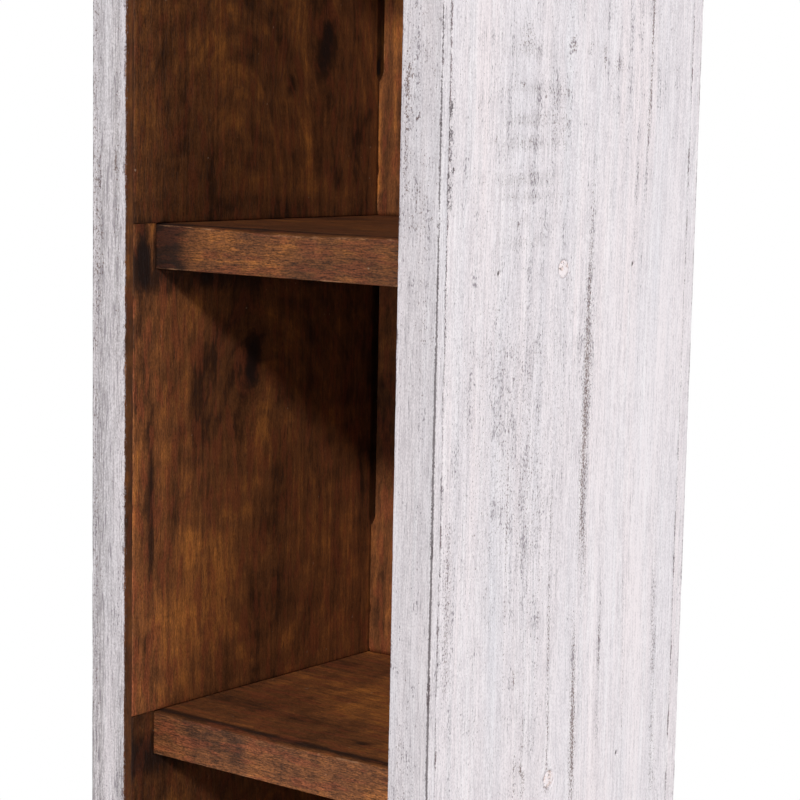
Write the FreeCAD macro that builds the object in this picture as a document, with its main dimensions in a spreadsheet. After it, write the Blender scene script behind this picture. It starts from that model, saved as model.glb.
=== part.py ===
# A tall, narrow tower of open compartments.
# Whitewashed outer boards stand round a brown inner lining, with one lining board for each side and back of
# each compartment. Brown shelves run through the lining and are fixed through the outer sides.
# Millimetres, +Z up, +X to the viewer's right, front towards -Y.
# Origin: middle of the base, on the floor.

import FreeCAD, Part
import os
import Sketcher

COMPARTMENTS = 5

SIZES = {
    # Overall outline, apart from the height, which follows from the compartments
    "overall_width": 142.0,
    "overall_depth": 146.0,
    "clear_height": 150.0,
    "plinth_height": 40.0,
    # Board thicknesses
    "panel_thickness": 9.0,
    "liner_thickness": 6.0,
    "facing_thickness": 4.0,
    "back_panel_thickness": 6.0,
    "back_board_thickness": 8.0,
    "shelf_thickness": 15.0,
    "rail_thickness": 15.0,
    "ceiling_thickness": 6.0,
    # Places and clearances
    "shelf_setback": 15.0,
    "back_board_gap": 0.5,
    # Eased edges
    "shelf_round": 2.0,
    "arris_round": 0.8,
    "back_board_round": 1.5,
    # Fixings: distances from the front plane, and down from a shelf's top
    "front_brad_inset": 31.0,
    "screw_inset": 66.0,
    "rear_brad_inset": 107.0,
    "fixing_drop": 10.0,
    # Brads
    "brad_diameter": 2.0,
    "brad_point": 3.0,
    "brad_sink": 1.0,
    "side_brad_length": 30.0,
    "back_brad_length": 22.0,
    # Screws and the plugs over their heads
    "screw_length": 30.0,
    "screw_diameter": 3.5,
    "screw_head_height": 2.0,
    "screw_point": 5.0,
    "plug_diameter": 6.0,
    "plug_length": 4.0,
}

doc = FreeCAD.newDocument("cd_tower")
sheet = doc.addObject("Spreadsheet::Sheet", "Sizes")
for row, (alias, number) in enumerate(SIZES.items(), start=1):
    sheet.set(f"A{row}", alias)
    sheet.set(f"B{row}", str(number))
    sheet.setAlias(f"B{row}", alias)
doc.recompute()

# Planes and spans, as expressions in the sheet's sizes
LEFT = "(-Sizes.overall_width / 2)"
FRONT = "(-Sizes.overall_depth / 2)"
BACK = "(Sizes.overall_depth / 2)"
SIDE_THICKNESS = "(Sizes.panel_thickness + Sizes.liner_thickness)"
CLEAR_WIDTH = f"(Sizes.overall_width - 2 * {SIDE_THICKNESS})"
SHELF_WIDTH = "(Sizes.overall_width - 2 * Sizes.panel_thickness)"
BOARD_FRONT = f"({FRONT} + Sizes.facing_thickness)"
BOARD_BACK = f"({BACK} - Sizes.back_panel_thickness)"
BOARD_DEPTH = f"({BOARD_BACK} - {BOARD_FRONT})"
SHELF_FRONT = f"({FRONT} + Sizes.shelf_setback)"
SHELF_DEPTH = f"({BOARD_BACK} - {SHELF_FRONT})"
PITCH = "(Sizes.clear_height + Sizes.shelf_thickness)"
CEILING_HEIGHT = f"(Sizes.plinth_height + {COMPARTMENTS} * {PITCH})"
SIDE_HEIGHT = f"({CEILING_HEIGHT} + Sizes.ceiling_thickness)"
TOTAL_HEIGHT = f"({SIDE_HEIGHT} + Sizes.panel_thickness)"
FIXING_HEIGHT = "(Sizes.plinth_height + Sizes.shelf_thickness - Sizes.fixing_drop)"
MID_COMPARTMENT = "(Sizes.plinth_height + Sizes.shelf_thickness + Sizes.clear_height / 2)"
BRAD_INSETS = ("Sizes.front_brad_inset", "Sizes.rear_brad_inset")
PLINTH_BRAD_INSET = "(Sizes.shelf_setback + Sizes.rail_thickness / 2)"

nodes = []


def shelf_underside(level):
    """Height of a shelf's underside: level 0 is the bottom board."""
    return f"(Sizes.plinth_height + {level} * {PITCH})"


def shelf_top(level):
    """Height of a shelf's top face: level 0 is the bottom board."""
    return f"({shelf_underside(level)} + Sizes.shelf_thickness)"


def number(expression):
    """The present value of an expression in the sheet's sizes."""
    value = sheet.evalExpression(expression)
    return float(getattr(value, "Value", value))


def new_body(label, x, y, z, rotation=FreeCAD.Rotation()):
    """An empty body, placed by three expressions, that becomes the node of the same name."""
    body = doc.addObject("PartDesign::Body", label)
    body.Label = label
    body.AllowCompound = True
    body.Placement = FreeCAD.Placement(FreeCAD.Vector(), rotation)
    for axis, expression in zip("xyz", (x, y, z)):
        body.setExpression(f"Placement.Base.{axis}", expression)
    nodes.append(body)
    return body


def mirrored_copy(body, label):
    """The right-hand twin of a left-hand piece, mirrored in the tower's middle plane."""
    twin = doc.addObject("Part::Mirroring", label)
    twin.Label = label
    twin.Source = body
    twin.Base = FreeCAD.Vector(0, 0, 0)
    twin.Normal = FreeCAD.Vector(1, 0, 0)
    nodes.append(twin)
    return twin


def origin_feature(body, role):
    """One of a body's own origin planes or axes."""
    return next(feature for feature in body.Origin.OriginFeatures if feature.Role == role)


def new_sketch(body, name, plane, offset="0"):
    """A sketch on one of the body's origin planes, moved along that plane's normal."""
    sketch = body.newObject("Sketcher::SketchObject", name)
    sketch.AttachmentSupport = (origin_feature(body, plane), [""])
    sketch.MapMode = "FlatFace"
    sketch.setExpression("AttachmentOffset.Base.z", offset)
    return sketch


def locate(sketch, geometry, vertex, x, y):
    """Hold a sketch point at two expressions; a plain 0 puts it on the axis."""
    for kind, axis, expression in (("DistanceX", -2, x), ("DistanceY", -1, y)):
        if expression == "0":
            sketch.addConstraint(Sketcher.Constraint("PointOnObject", geometry, vertex, axis))
            continue
        value = number(expression)
        index = sketch.addConstraint(Sketcher.Constraint(kind, -1, 1, geometry, vertex, value))
        sketch.setExpression(f"Constraints[{index}]", expression)


def draw_outline(sketch, points):
    """A closed outline of straight lines through points given as pairs of expressions."""
    corners = [FreeCAD.Vector(number(x), number(y), 0) for x, y in points]
    for start, end in zip(corners, corners[1:] + corners[:1]):
        sketch.addGeometry(Part.LineSegment(start, end), False)
    for index, (x, y) in enumerate(points):
        before = (index - 1) % len(points)
        sketch.addConstraint(Sketcher.Constraint("Coincident", before, 2, index, 1))
        locate(sketch, index, 1, x, y)


def draw_rectangle(sketch, width, height):
    """A rectangle from the sketch's origin."""
    draw_outline(sketch, [("0", "0"), (width, "0"), (width, height), ("0", height)])


def draw_circles(sketch, centres, diameter):
    """Circles of one diameter round centres given as pairs of expressions."""
    for index, (x, y) in enumerate(centres):
        centre = FreeCAD.Vector(number(x), number(y), 0)
        radius = number(diameter) / 2
        sketch.addGeometry(Part.Circle(centre, FreeCAD.Vector(0, 0, 1), radius), False)
        locate(sketch, index, 3, x, y)
        size = sketch.addConstraint(Sketcher.Constraint("Diameter", index, 2 * radius))
        sketch.setExpression(f"Constraints[{size}]", diameter)


def add_pad(body, sketch, length, midplane=False):
    """Raise a sketch along its plane's normal."""
    pad = body.newObject("PartDesign::Pad", "Board")
    pad.Profile = sketch
    pad.Midplane = midplane
    pad.setExpression("Length", length)
    doc.recompute()
    return pad


def add_bores(body, name, sketch, depth=None, reverse=True):
    """Cut a sketch's circles to a depth, or right through where no depth is given."""
    bores = body.newObject("PartDesign::Pocket", name)
    bores.Profile = sketch
    bores.Reversed = reverse
    if depth is None:
        bores.Type = "ThroughAll"
    else:
        bores.setExpression("Length", depth)
    return bores


def repeat(body, originals, axis, step, count):
    """Copies of features along one of the body's axes, one step apart."""
    pattern = body.newObject("PartDesign::LinearPattern", "Copies")
    pattern.Originals = originals
    pattern.Direction = (origin_feature(body, axis), [""])
    pattern.Mode = "Spacing"
    pattern.setExpression("Offset", step)
    pattern.Occurrences = count
    body.Tip = pattern
    doc.recompute()
    return pattern


def mirror_in_middle(body, originals):
    """Mirror features in the body's own YZ plane."""
    mirrored = body.newObject("PartDesign::Mirrored", "BothEnds")
    mirrored.Originals = originals
    mirrored.MirrorPlane = (origin_feature(body, "YZ_Plane"), [""])
    body.Tip = mirrored
    doc.recompute()
    return mirrored


def round_edges(body, radius, wanted):
    """Round the edges whose middle point passes a test."""
    base = body.Tip
    picked = [
        f"Edge{index}"
        for index, edge in enumerate(base.Shape.Edges, start=1)
        if wanted(edge.CenterOfMass)
    ]
    if not picked:
        raise RuntimeError(f"{body.Label}: no edge to round")
    fillet = body.newObject("PartDesign::Fillet", "EasedEdges")
    fillet.Base = (base, picked)
    fillet.setExpression("Radius", radius)
    doc.recompute()


def near(value, target):
    """Whether two lengths agree, in millimetres."""
    return abs(value - target) < 0.01


def block(label, x, y, z, width, depth, height):
    """A plain board, its low corner at three expressions."""
    body = new_body(label, x, y, z)
    outline = new_sketch(body, "Outline", "XY_Plane")
    draw_rectangle(outline, width, depth)
    add_pad(body, outline, height)
    return body


# Outer boards

def left_side_panel():
    """Outer board of the left side, bored for the shelf fixings, the back's brads and the top's brads."""
    body = block("left_side_panel", LEFT, BOARD_FRONT, "0", "Sizes.panel_thickness", BOARD_DEPTH, SIDE_HEIGHT)

    counterbores = new_sketch(body, "PlugSeats", "YZ_Plane")
    screw_place = [("Sizes.screw_inset - Sizes.facing_thickness", FIXING_HEIGHT)]
    draw_circles(counterbores, screw_place, "Sizes.plug_diameter")
    seats = add_bores(body, "PlugSeat", counterbores, "Sizes.plug_length + Sizes.screw_head_height")

    screw_circles = new_sketch(body, "ScrewCircles", "YZ_Plane")
    draw_circles(screw_circles, screw_place, "Sizes.screw_diameter")
    screw_bores = add_bores(body, "ScrewBore", screw_circles)

    brad_circles = new_sketch(body, "BradCircles", "YZ_Plane")
    brad_places = [(f"{inset} - Sizes.facing_thickness", FIXING_HEIGHT) for inset in BRAD_INSETS]
    draw_circles(brad_circles, brad_places, "Sizes.brad_diameter")
    brad_bores = add_bores(body, "BradBores", brad_circles)
    repeat(body, [seats, screw_bores, brad_bores], "Z_Axis", PITCH, COMPARTMENTS)

    plinth_circle = new_sketch(body, "PlinthBradCircle", "YZ_Plane")
    plinth_place = [(f"{PLINTH_BRAD_INSET} - Sizes.facing_thickness", "Sizes.plinth_height / 2")]
    draw_circles(plinth_circle, plinth_place, "Sizes.brad_diameter")
    add_bores(body, "PlinthBradBore", plinth_circle)

    back_circle = new_sketch(body, "BackBradCircle", "XZ_Plane", f"-{BOARD_DEPTH}")
    draw_circles(back_circle, [("Sizes.panel_thickness / 2", MID_COMPARTMENT)], "Sizes.brad_diameter")
    back_depth = "Sizes.brad_sink + Sizes.back_brad_length - Sizes.back_panel_thickness"
    back_bores = add_bores(body, "BackBradBore", back_circle, back_depth)
    repeat(body, [back_bores], "Z_Axis", PITCH, COMPARTMENTS)

    top_circles = new_sketch(body, "TopBradCircles", "XY_Plane", SIDE_HEIGHT)
    top_places = [("Sizes.panel_thickness / 2", f"{inset} - Sizes.facing_thickness") for inset in BRAD_INSETS]
    draw_circles(top_circles, top_places, "Sizes.brad_diameter")
    top_depth = "Sizes.brad_sink + Sizes.side_brad_length - Sizes.panel_thickness"
    add_bores(body, "TopBradBores", top_circles, top_depth, reverse=False)
    doc.recompute()
    return body


def top_panel():
    """Outer board of the top, lying on the side panels."""
    body = new_body("top_panel", "0", BOARD_FRONT, SIDE_HEIGHT)
    outline = new_sketch(body, "Outline", "XY_Plane")
    right = "Sizes.overall_width / 2"
    corners = [(LEFT, "0"), (right, "0"), (right, BOARD_DEPTH), (LEFT, BOARD_DEPTH)]
    draw_outline(outline, corners)
    add_pad(body, outline, "Sizes.panel_thickness")

    circles = new_sketch(body, "BradCircles", "XY_Plane")
    column = f"{LEFT} + Sizes.panel_thickness / 2"
    places = [(column, f"{inset} - Sizes.facing_thickness") for inset in BRAD_INSETS]
    draw_circles(circles, places, "Sizes.brad_diameter")
    bores = add_bores(body, "BradBores", circles)
    mirror_in_middle(body, [bores])

    top = number("Sizes.panel_thickness")
    side = number("Sizes.overall_width / 2")
    round_edges(body, "Sizes.arris_round", lambda middle: near(middle.z, top) and near(abs(middle.x), side))


def back_panel():
    """Outer board of the back, over the rear edges of the sides and the top."""
    body = new_body("back_panel", "0", BOARD_BACK, "0")
    outline = new_sketch(body, "Outline", "XY_Plane")
    right = "Sizes.overall_width / 2"
    depth = "Sizes.back_panel_thickness"
    draw_outline(outline, [(LEFT, "0"), (right, "0"), (right, depth), (LEFT, depth)])
    add_pad(body, outline, TOTAL_HEIGHT)

    column_circle = new_sketch(body, "SideBradCircle", "XZ_Plane", f"-{depth}")
    column = f"{LEFT} + Sizes.panel_thickness / 2"
    draw_circles(column_circle, [(column, MID_COMPARTMENT)], "Sizes.brad_diameter")
    column_bores = add_bores(body, "SideBradBore", column_circle)

    column_copy_circle = new_sketch(body, "OtherSideBradCircle", "XZ_Plane", f"-{depth}")
    other_column = f"-{LEFT} - Sizes.panel_thickness / 2"
    draw_circles(column_copy_circle, [(other_column, MID_COMPARTMENT)], "Sizes.brad_diameter")
    other_column_bores = add_bores(body, "OtherSideBradBore", column_copy_circle)

    shelf_circle = new_sketch(body, "ShelfBradCircle", "XZ_Plane", f"-{depth}")
    draw_circles(shelf_circle, [("0", FIXING_HEIGHT)], "Sizes.brad_diameter")
    shelf_bores = add_bores(body, "ShelfBradBore", shelf_circle)
    repeat(body, [column_bores, other_column_bores, shelf_bores], "Z_Axis", PITCH, COMPARTMENTS)

    rear = number(depth)
    side = number("Sizes.overall_width / 2")
    top = number(TOTAL_HEIGHT)
    round_edges(
        body,
        "Sizes.arris_round",
        lambda middle: near(middle.y, rear) and (near(abs(middle.x), side) or near(middle.z, top)),
    )


def left_front_facing():
    """Strip over the front edges of the left side's panel and liners."""
    body = block(
        "left_front_facing", LEFT, FRONT, "0", SIDE_THICKNESS, "Sizes.facing_thickness", TOTAL_HEIGHT
    )
    middle_height = number(TOTAL_HEIGHT) / 2
    round_edges(body, "Sizes.arris_round", lambda middle: near(middle.y, 0) and near(middle.z, middle_height))
    return body


def top_front_facing():
    """Strip over the front edges of the top panel and the ceiling board, between the side strips."""
    height = "Sizes.ceiling_thickness + Sizes.panel_thickness"
    body = block(
        "top_front_facing",
        f"-{CLEAR_WIDTH} / 2",
        FRONT,
        CEILING_HEIGHT,
        CLEAR_WIDTH,
        "Sizes.facing_thickness",
        height,
    )
    middle_width = number(CLEAR_WIDTH) / 2
    round_edges(body, "Sizes.arris_round", lambda middle: near(middle.y, 0) and near(middle.x, middle_width))


# Inner boards

def liner(label, z, height, notched=True):
    """Lining board of the left side, its upper back corner cut away for the shelf's end."""
    body = new_body(label, f"{LEFT} + Sizes.panel_thickness", BOARD_FRONT, z)
    outline = new_sketch(body, "Outline", "YZ_Plane")
    if notched:
        tab = "Sizes.shelf_setback - Sizes.facing_thickness"
        seat = f"{height} - Sizes.shelf_thickness"
        corners = [
            ("0", "0"),
            (BOARD_DEPTH, "0"),
            (BOARD_DEPTH, seat),
            (tab, seat),
            (tab, height),
            ("0", height),
        ]
        draw_outline(outline, corners)
    else:
        draw_rectangle(outline, BOARD_DEPTH, height)
    add_pad(body, outline, "Sizes.liner_thickness")
    return body


def base_liner():
    """Lining board beside the plinth rail, bored for the rail's brad."""
    body = liner("left_base_liner", "0", "(Sizes.plinth_height + Sizes.shelf_thickness)")
    circle = new_sketch(body, "BradCircle", "YZ_Plane")
    place = [(f"{PLINTH_BRAD_INSET} - Sizes.facing_thickness", "Sizes.plinth_height / 2")]
    draw_circles(circle, place, "Sizes.brad_diameter")
    add_bores(body, "BradBore", circle)
    doc.recompute()
    return body


def back_board(label, level):
    """Brown board at the back of one compartment, standing on its shelf."""
    body = block(
        label,
        f"-{CLEAR_WIDTH} / 2 + Sizes.back_board_gap",
        f"{BOARD_BACK} - Sizes.back_board_thickness",
        shelf_top(level),
        f"{CLEAR_WIDTH} - 2 * Sizes.back_board_gap",
        "Sizes.back_board_thickness",
        "Sizes.clear_height",
    )
    middle_height = number("Sizes.clear_height") / 2
    round_edges(
        body, "Sizes.back_board_round", lambda middle: near(middle.y, 0) and near(middle.z, middle_height)
    )


def shelf(label, level):
    """One shelf, rounded along its front and bored at both ends and at the back for its fixings."""
    body = new_body(label, "0", SHELF_FRONT, shelf_underside(level))
    half = f"({SHELF_WIDTH} / 2)"
    outline = new_sketch(body, "Outline", "XY_Plane")
    draw_outline(outline, [(f"-{half}", "0"), (half, "0"), (half, SHELF_DEPTH), (f"-{half}", SHELF_DEPTH)])
    add_pad(body, outline, "Sizes.shelf_thickness")
    round_edges(body, "Sizes.shelf_round", lambda middle: near(middle.y, 0) and near(middle.x, 0))

    fixing_height = "Sizes.shelf_thickness - Sizes.fixing_drop"
    screw_circle = new_sketch(body, "ScrewCircle", "YZ_Plane", f"-{half}")
    draw_circles(
        screw_circle, [("Sizes.screw_inset - Sizes.shelf_setback", fixing_height)], "Sizes.screw_diameter"
    )
    screw_depth = "Sizes.plug_length + Sizes.screw_length - Sizes.panel_thickness"
    screw_bore = add_bores(body, "ScrewBore", screw_circle, screw_depth)

    brad_circles = new_sketch(body, "BradCircles", "YZ_Plane", f"-{half}")
    brad_places = [(f"{inset} - Sizes.shelf_setback", fixing_height) for inset in BRAD_INSETS]
    draw_circles(brad_circles, brad_places, "Sizes.brad_diameter")
    brad_depth = "Sizes.brad_sink + Sizes.side_brad_length - Sizes.panel_thickness"
    brad_bores = add_bores(body, "BradBores", brad_circles, brad_depth)
    mirror_in_middle(body, [screw_bore, brad_bores])

    back_circle = new_sketch(body, "BackBradCircle", "XZ_Plane", f"-{SHELF_DEPTH}")
    draw_circles(back_circle, [("0", fixing_height)], "Sizes.brad_diameter")
    back_depth = "Sizes.brad_sink + Sizes.back_brad_length - Sizes.back_panel_thickness"
    add_bores(body, "BackBradBore", back_circle, back_depth)
    doc.recompute()


def ceiling_board():
    """Brown lining under the top, between the side panels."""
    block(
        "ceiling_board",
        f"-{SHELF_WIDTH} / 2",
        BOARD_FRONT,
        CEILING_HEIGHT,
        SHELF_WIDTH,
        BOARD_DEPTH,
        "Sizes.ceiling_thickness",
    )


def plinth_rail():
    """Rail on edge under the front of the bottom board, bored at both ends."""
    body = new_body("plinth_rail", "0", SHELF_FRONT, "0")
    half = f"({CLEAR_WIDTH} / 2)"
    depth = "Sizes.rail_thickness"
    outline = new_sketch(body, "Outline", "XY_Plane")
    draw_outline(outline, [(f"-{half}", "0"), (half, "0"), (half, depth), (f"-{half}", depth)])
    add_pad(body, outline, "Sizes.plinth_height")

    circle = new_sketch(body, "BradCircle", "YZ_Plane", f"-{half}")
    draw_circles(circle, [("Sizes.rail_thickness / 2", "Sizes.plinth_height / 2")], "Sizes.brad_diameter")
    brad_depth = f"Sizes.brad_sink + Sizes.side_brad_length - {SIDE_THICKNESS}"
    bore = add_bores(body, "BradBore", circle, brad_depth)
    mirror_in_middle(body, [bore])


# Fasteners: each is turned about its own X axis, which points into the wood

INTO_BACK = FreeCAD.Rotation(FreeCAD.Vector(0, 0, 1), -90)
INTO_TOP = FreeCAD.Rotation(FreeCAD.Vector(0, 1, 0), 90)


def turned(label, x, y, z, profile, rotation=FreeCAD.Rotation()):
    """A turned piece, from a half profile of (distance along the axis, radius) pairs."""
    body = new_body(label, x, y, z, rotation)
    sketch = new_sketch(body, "HalfProfile", "XZ_Plane")
    draw_outline(sketch, profile)
    revolution = body.newObject("PartDesign::Revolution", "Turned")
    revolution.Profile = sketch
    revolution.ReferenceAxis = (sketch, ["H_Axis"])
    revolution.Angle = 360
    doc.recompute()
    return body


def brad(label, x, y, z, length, rotation=FreeCAD.Rotation()):
    """A headless brad with a conical point, sunk below the face at x, y, z."""
    start = "Sizes.brad_sink"
    end = f"(Sizes.brad_sink + {length})"
    radius = "(Sizes.brad_diameter / 2)"
    profile = [(start, "0"), (start, radius), (f"{end} - Sizes.brad_point", radius), (end, "0")]
    return turned(label, x, y, z, profile, rotation)


def left_shelf_screws():
    """One screw through the side into each shelf, its flat head under the plug."""
    head = "Sizes.plug_length"
    neck = "(Sizes.plug_length + Sizes.screw_head_height)"
    end = "(Sizes.plug_length + Sizes.screw_length)"
    head_radius = "Sizes.plug_diameter / 2"
    radius = "Sizes.screw_diameter / 2"
    profile = [
        (head, "0"),
        (head, head_radius),
        (neck, head_radius),
        (neck, radius),
        (f"{end} - Sizes.screw_point", radius),
        (end, "0"),
    ]
    body = turned("left_shelf_screws", LEFT, f"{FRONT} + Sizes.screw_inset", FIXING_HEIGHT, profile)
    repeat(body, [body.Tip], "Z_Axis", PITCH, COMPARTMENTS)
    return body


def left_screw_plugs():
    """Wooden plugs over the screw heads, flush with the side."""
    radius = "Sizes.plug_diameter / 2"
    profile = [("0", "0"), ("0", radius), ("Sizes.plug_length", radius), ("Sizes.plug_length", "0")]
    body = turned("left_screw_plugs", LEFT, f"{FRONT} + Sizes.screw_inset", FIXING_HEIGHT, profile)
    repeat(body, [body.Tip], "Z_Axis", PITCH, COMPARTMENTS)
    return body


def left_side_brads():
    """Two brads beside each shelf screw."""
    front_place = f"{FRONT} + Sizes.front_brad_inset"
    body = brad("left_side_brads", LEFT, front_place, FIXING_HEIGHT, "Sizes.side_brad_length")
    column = repeat(body, [body.Tip], "Z_Axis", PITCH, COMPARTMENTS)
    column.Direction2 = (origin_feature(body, "Y_Axis"), [""])
    column.Mode2 = "Spacing"
    column.setExpression("Offset2", "Sizes.rear_brad_inset - Sizes.front_brad_inset")
    column.Occurrences2 = 2
    doc.recompute()
    return body


def left_plinth_brad():
    """The brad that holds one end of the plinth rail."""
    place = f"{FRONT} + {PLINTH_BRAD_INSET}"
    return brad("left_plinth_brad", LEFT, place, "Sizes.plinth_height / 2", "Sizes.side_brad_length")


def back_panel_brads():
    """Two columns of brads through the back panel into the side panels."""
    column = f"{LEFT} + Sizes.panel_thickness / 2"
    body = brad("back_panel_brads", column, BACK, MID_COMPARTMENT, "Sizes.back_brad_length", INTO_BACK)
    columns = repeat(body, [body.Tip], "Z_Axis", PITCH, COMPARTMENTS)
    columns.Direction2 = (origin_feature(body, "Y_Axis"), [""])
    columns.Mode2 = "Spacing"
    columns.setExpression("Offset2", "Sizes.overall_width - Sizes.panel_thickness")
    columns.Occurrences2 = 2
    doc.recompute()


def back_shelf_brads():
    """One brad through the back panel into the rear edge of each shelf."""
    body = brad("back_shelf_brads", "0", BACK, FIXING_HEIGHT, "Sizes.back_brad_length", INTO_BACK)
    repeat(body, [body.Tip], "Z_Axis", PITCH, COMPARTMENTS)


def top_panel_brads():
    """Four brads down through the top panel into the ends of the side panels."""
    column = f"{LEFT} + Sizes.panel_thickness / 2"
    row = f"{FRONT} + Sizes.front_brad_inset"
    body = brad("top_panel_brads", column, row, TOTAL_HEIGHT, "Sizes.side_brad_length", INTO_TOP)
    corners = repeat(body, [body.Tip], "Z_Axis", "Sizes.overall_width - Sizes.panel_thickness", 2)
    corners.Direction2 = (origin_feature(body, "Y_Axis"), [""])
    corners.Mode2 = "Spacing"
    corners.setExpression("Offset2", "Sizes.rear_brad_inset - Sizes.front_brad_inset")
    corners.Occurrences2 = 2
    doc.recompute()


def build():
    """Make every piece, the right-hand ones as mirrored twins."""
    left_pieces = [left_side_panel(), left_front_facing(), base_liner()]
    for compartment in range(1, COMPARTMENTS + 1):
        topmost = compartment == COMPARTMENTS
        height = "Sizes.clear_height" if topmost else PITCH
        bottom = shelf_top(compartment - 1)
        left_pieces.append(liner(f"left_liner_{compartment}", bottom, height, not topmost))
    left_pieces += [left_shelf_screws(), left_screw_plugs(), left_side_brads(), left_plinth_brad()]
    for piece in left_pieces:
        mirrored_copy(piece, piece.Label.replace("left_", "right_"))

    top_panel()
    back_panel()
    top_front_facing()
    ceiling_board()
    plinth_rail()
    shelf("bottom_board", 0)
    for level in range(1, COMPARTMENTS):
        shelf(f"shelf_{level}", level)
    for compartment in range(1, COMPARTMENTS + 1):
        back_board(f"back_board_{compartment}", compartment - 1)
    back_panel_brads()
    back_shelf_brads()
    top_panel_brads()


def check():
    """Stop if an object failed, a node's shape is empty or invalid, or a cut removed nothing."""
    for item in doc.Objects:
        if "Invalid" in item.State or "Error" in item.State:
            raise RuntimeError(f"{item.Label}: {item.State}")
        if item.TypeId == "PartDesign::Pocket" and item.Shape.Volume >= item.BaseFeature.Shape.Volume:
            raise RuntimeError(f"{item.Label} cuts nothing")
    for node in nodes:
        if node.Shape.isNull() or not node.Shape.isValid():
            raise RuntimeError(f"{node.Label}: no valid shape")


def write():
    """One STEP file for each node."""
    os.makedirs("parts", exist_ok=True)
    for node in nodes:
        node.Shape.exportStep(f"parts/{node.Label}.step")
        print(f"{node.Label}: {len(node.Shape.Solids)} solids, {node.Shape.Volume / 1000:.2f} cm3")


build()
doc.recompute()
check()
write()
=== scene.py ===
"""Dresses a tall tower of open compartments: whitewashed boards outside, brown stained ones inside."""

import math
from dataclasses import dataclass

import bpy
import numpy as np
from mathutils import Matrix, Vector


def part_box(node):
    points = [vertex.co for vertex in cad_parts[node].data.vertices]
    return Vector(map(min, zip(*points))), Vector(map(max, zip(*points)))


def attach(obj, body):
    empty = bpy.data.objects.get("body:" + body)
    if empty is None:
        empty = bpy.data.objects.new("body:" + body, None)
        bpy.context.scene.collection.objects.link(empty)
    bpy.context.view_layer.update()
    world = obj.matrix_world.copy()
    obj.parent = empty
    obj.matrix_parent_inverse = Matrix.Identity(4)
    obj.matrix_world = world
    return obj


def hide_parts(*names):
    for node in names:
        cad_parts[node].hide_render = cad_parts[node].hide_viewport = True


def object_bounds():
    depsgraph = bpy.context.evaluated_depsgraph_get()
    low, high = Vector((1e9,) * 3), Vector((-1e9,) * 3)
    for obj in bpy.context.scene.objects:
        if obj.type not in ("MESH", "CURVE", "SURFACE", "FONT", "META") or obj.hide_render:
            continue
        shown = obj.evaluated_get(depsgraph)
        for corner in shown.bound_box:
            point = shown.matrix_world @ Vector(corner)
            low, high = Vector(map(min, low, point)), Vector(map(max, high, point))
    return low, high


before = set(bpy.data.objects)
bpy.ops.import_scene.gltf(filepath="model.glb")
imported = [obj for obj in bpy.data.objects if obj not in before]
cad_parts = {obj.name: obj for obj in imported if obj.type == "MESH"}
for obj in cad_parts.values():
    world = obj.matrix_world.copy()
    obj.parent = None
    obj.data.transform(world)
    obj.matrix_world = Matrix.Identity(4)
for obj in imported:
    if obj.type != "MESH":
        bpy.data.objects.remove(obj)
CAD_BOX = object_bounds()

bl_info = {
    "name": "CD Tower",
    "version": (1, 0, 0),
    "blender": (4, 5, 0),
    "location": "3D View > Sidebar > CD Tower",
    "description": "Gives a packed CD tower its worn boards, plugs, finishes and studio",
    "category": "Add Mesh",
}

MM = 0.001
X, Y, Z = 0, 1, 2
COMPARTMENTS = 5


def corners(node):
    """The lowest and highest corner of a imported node."""
    return [np.array(corner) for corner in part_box(node)]


def outermost(box, axis):
    """Middles of the first and last brad along an axis, from the box round all of them."""
    return box[0][axis] + BRAD_RADIUS, box[1][axis] - BRAD_RADIUS


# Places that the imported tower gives
LOW, HIGH = (np.array(corner) for corner in CAD_BOX)
WIDTH, DEPTH, HEIGHT = (round(float(size) / MM) for size in HIGH - LOW)
SHELF_NODES = ["bottom_board"] + [f"shelf_{level}" for level in range(1, COMPARTMENTS)]
SHELF_BOX = corners("shelf_1")
SHELF_THICKNESS = SHELF_BOX[1][Z] - SHELF_BOX[0][Z]
PITCH = SHELF_BOX[1][Z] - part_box("bottom_board")[1].z
PLUG_BOX = corners("right_screw_plugs")
PLUG_RADIUS = (PLUG_BOX[1][Y] - PLUG_BOX[0][Y]) / 2
PLUG_DEPTH = (PLUG_BOX[0] + PLUG_BOX[1])[Y] / 2
FIXING_HEIGHTS = [PLUG_BOX[0][Z] + PLUG_RADIUS + level * PITCH for level in range(COMPARTMENTS)]
FRONT_JOINT = float(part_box("right_side_panel")[0].y)
BACK_JOINT = float(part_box("right_side_panel")[1].y)
BRAD_BOX = corners("right_side_brads")
RAIL_BRAD_BOX = corners("right_plinth_brad")
BRAD_RADIUS = (RAIL_BRAD_BOX[1][Y] - RAIL_BRAD_BOX[0][Y]) / 2
BRAD_DEPTHS = outermost(BRAD_BOX, Y)

# A sunk brad's hole: how wide and how deep it is seen
BRAD_HOLE = 1.08 * BRAD_RADIUS
BRAD_HOLE_DEPTH = 1.6 * MM
PLUG_SEAT_DEPTH = 1.0 * MM


def shade(red, green, blue):
    """A colour given in the usual 0 to 255 steps, as the linear numbers that shaders use."""
    steps = np.array((red, green, blue)) / 255
    linear = np.where(steps > 0.04045, ((steps + 0.055) / 1.055) ** 2.4, steps / 12.92)
    return tuple(float(part) for part in linear)


def length_property(name, description, millimetres):
    """A size that a user may change, kept in metres."""
    return bpy.props.FloatProperty(
        name=name, description=description, default=millimetres * MM, min=0.0, unit="LENGTH", precision=5
    )


def colour_property(name, description, default):
    """A colour that a user may change."""
    return bpy.props.FloatVectorProperty(
        name=name, description=description, default=default, min=0.0, max=1.0, subtype="COLOR"
    )


def power_property(name, description, watts):
    """A lamp's power."""
    return bpy.props.FloatProperty(name=name, description=description, default=watts, min=0.0, unit="POWER")


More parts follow.
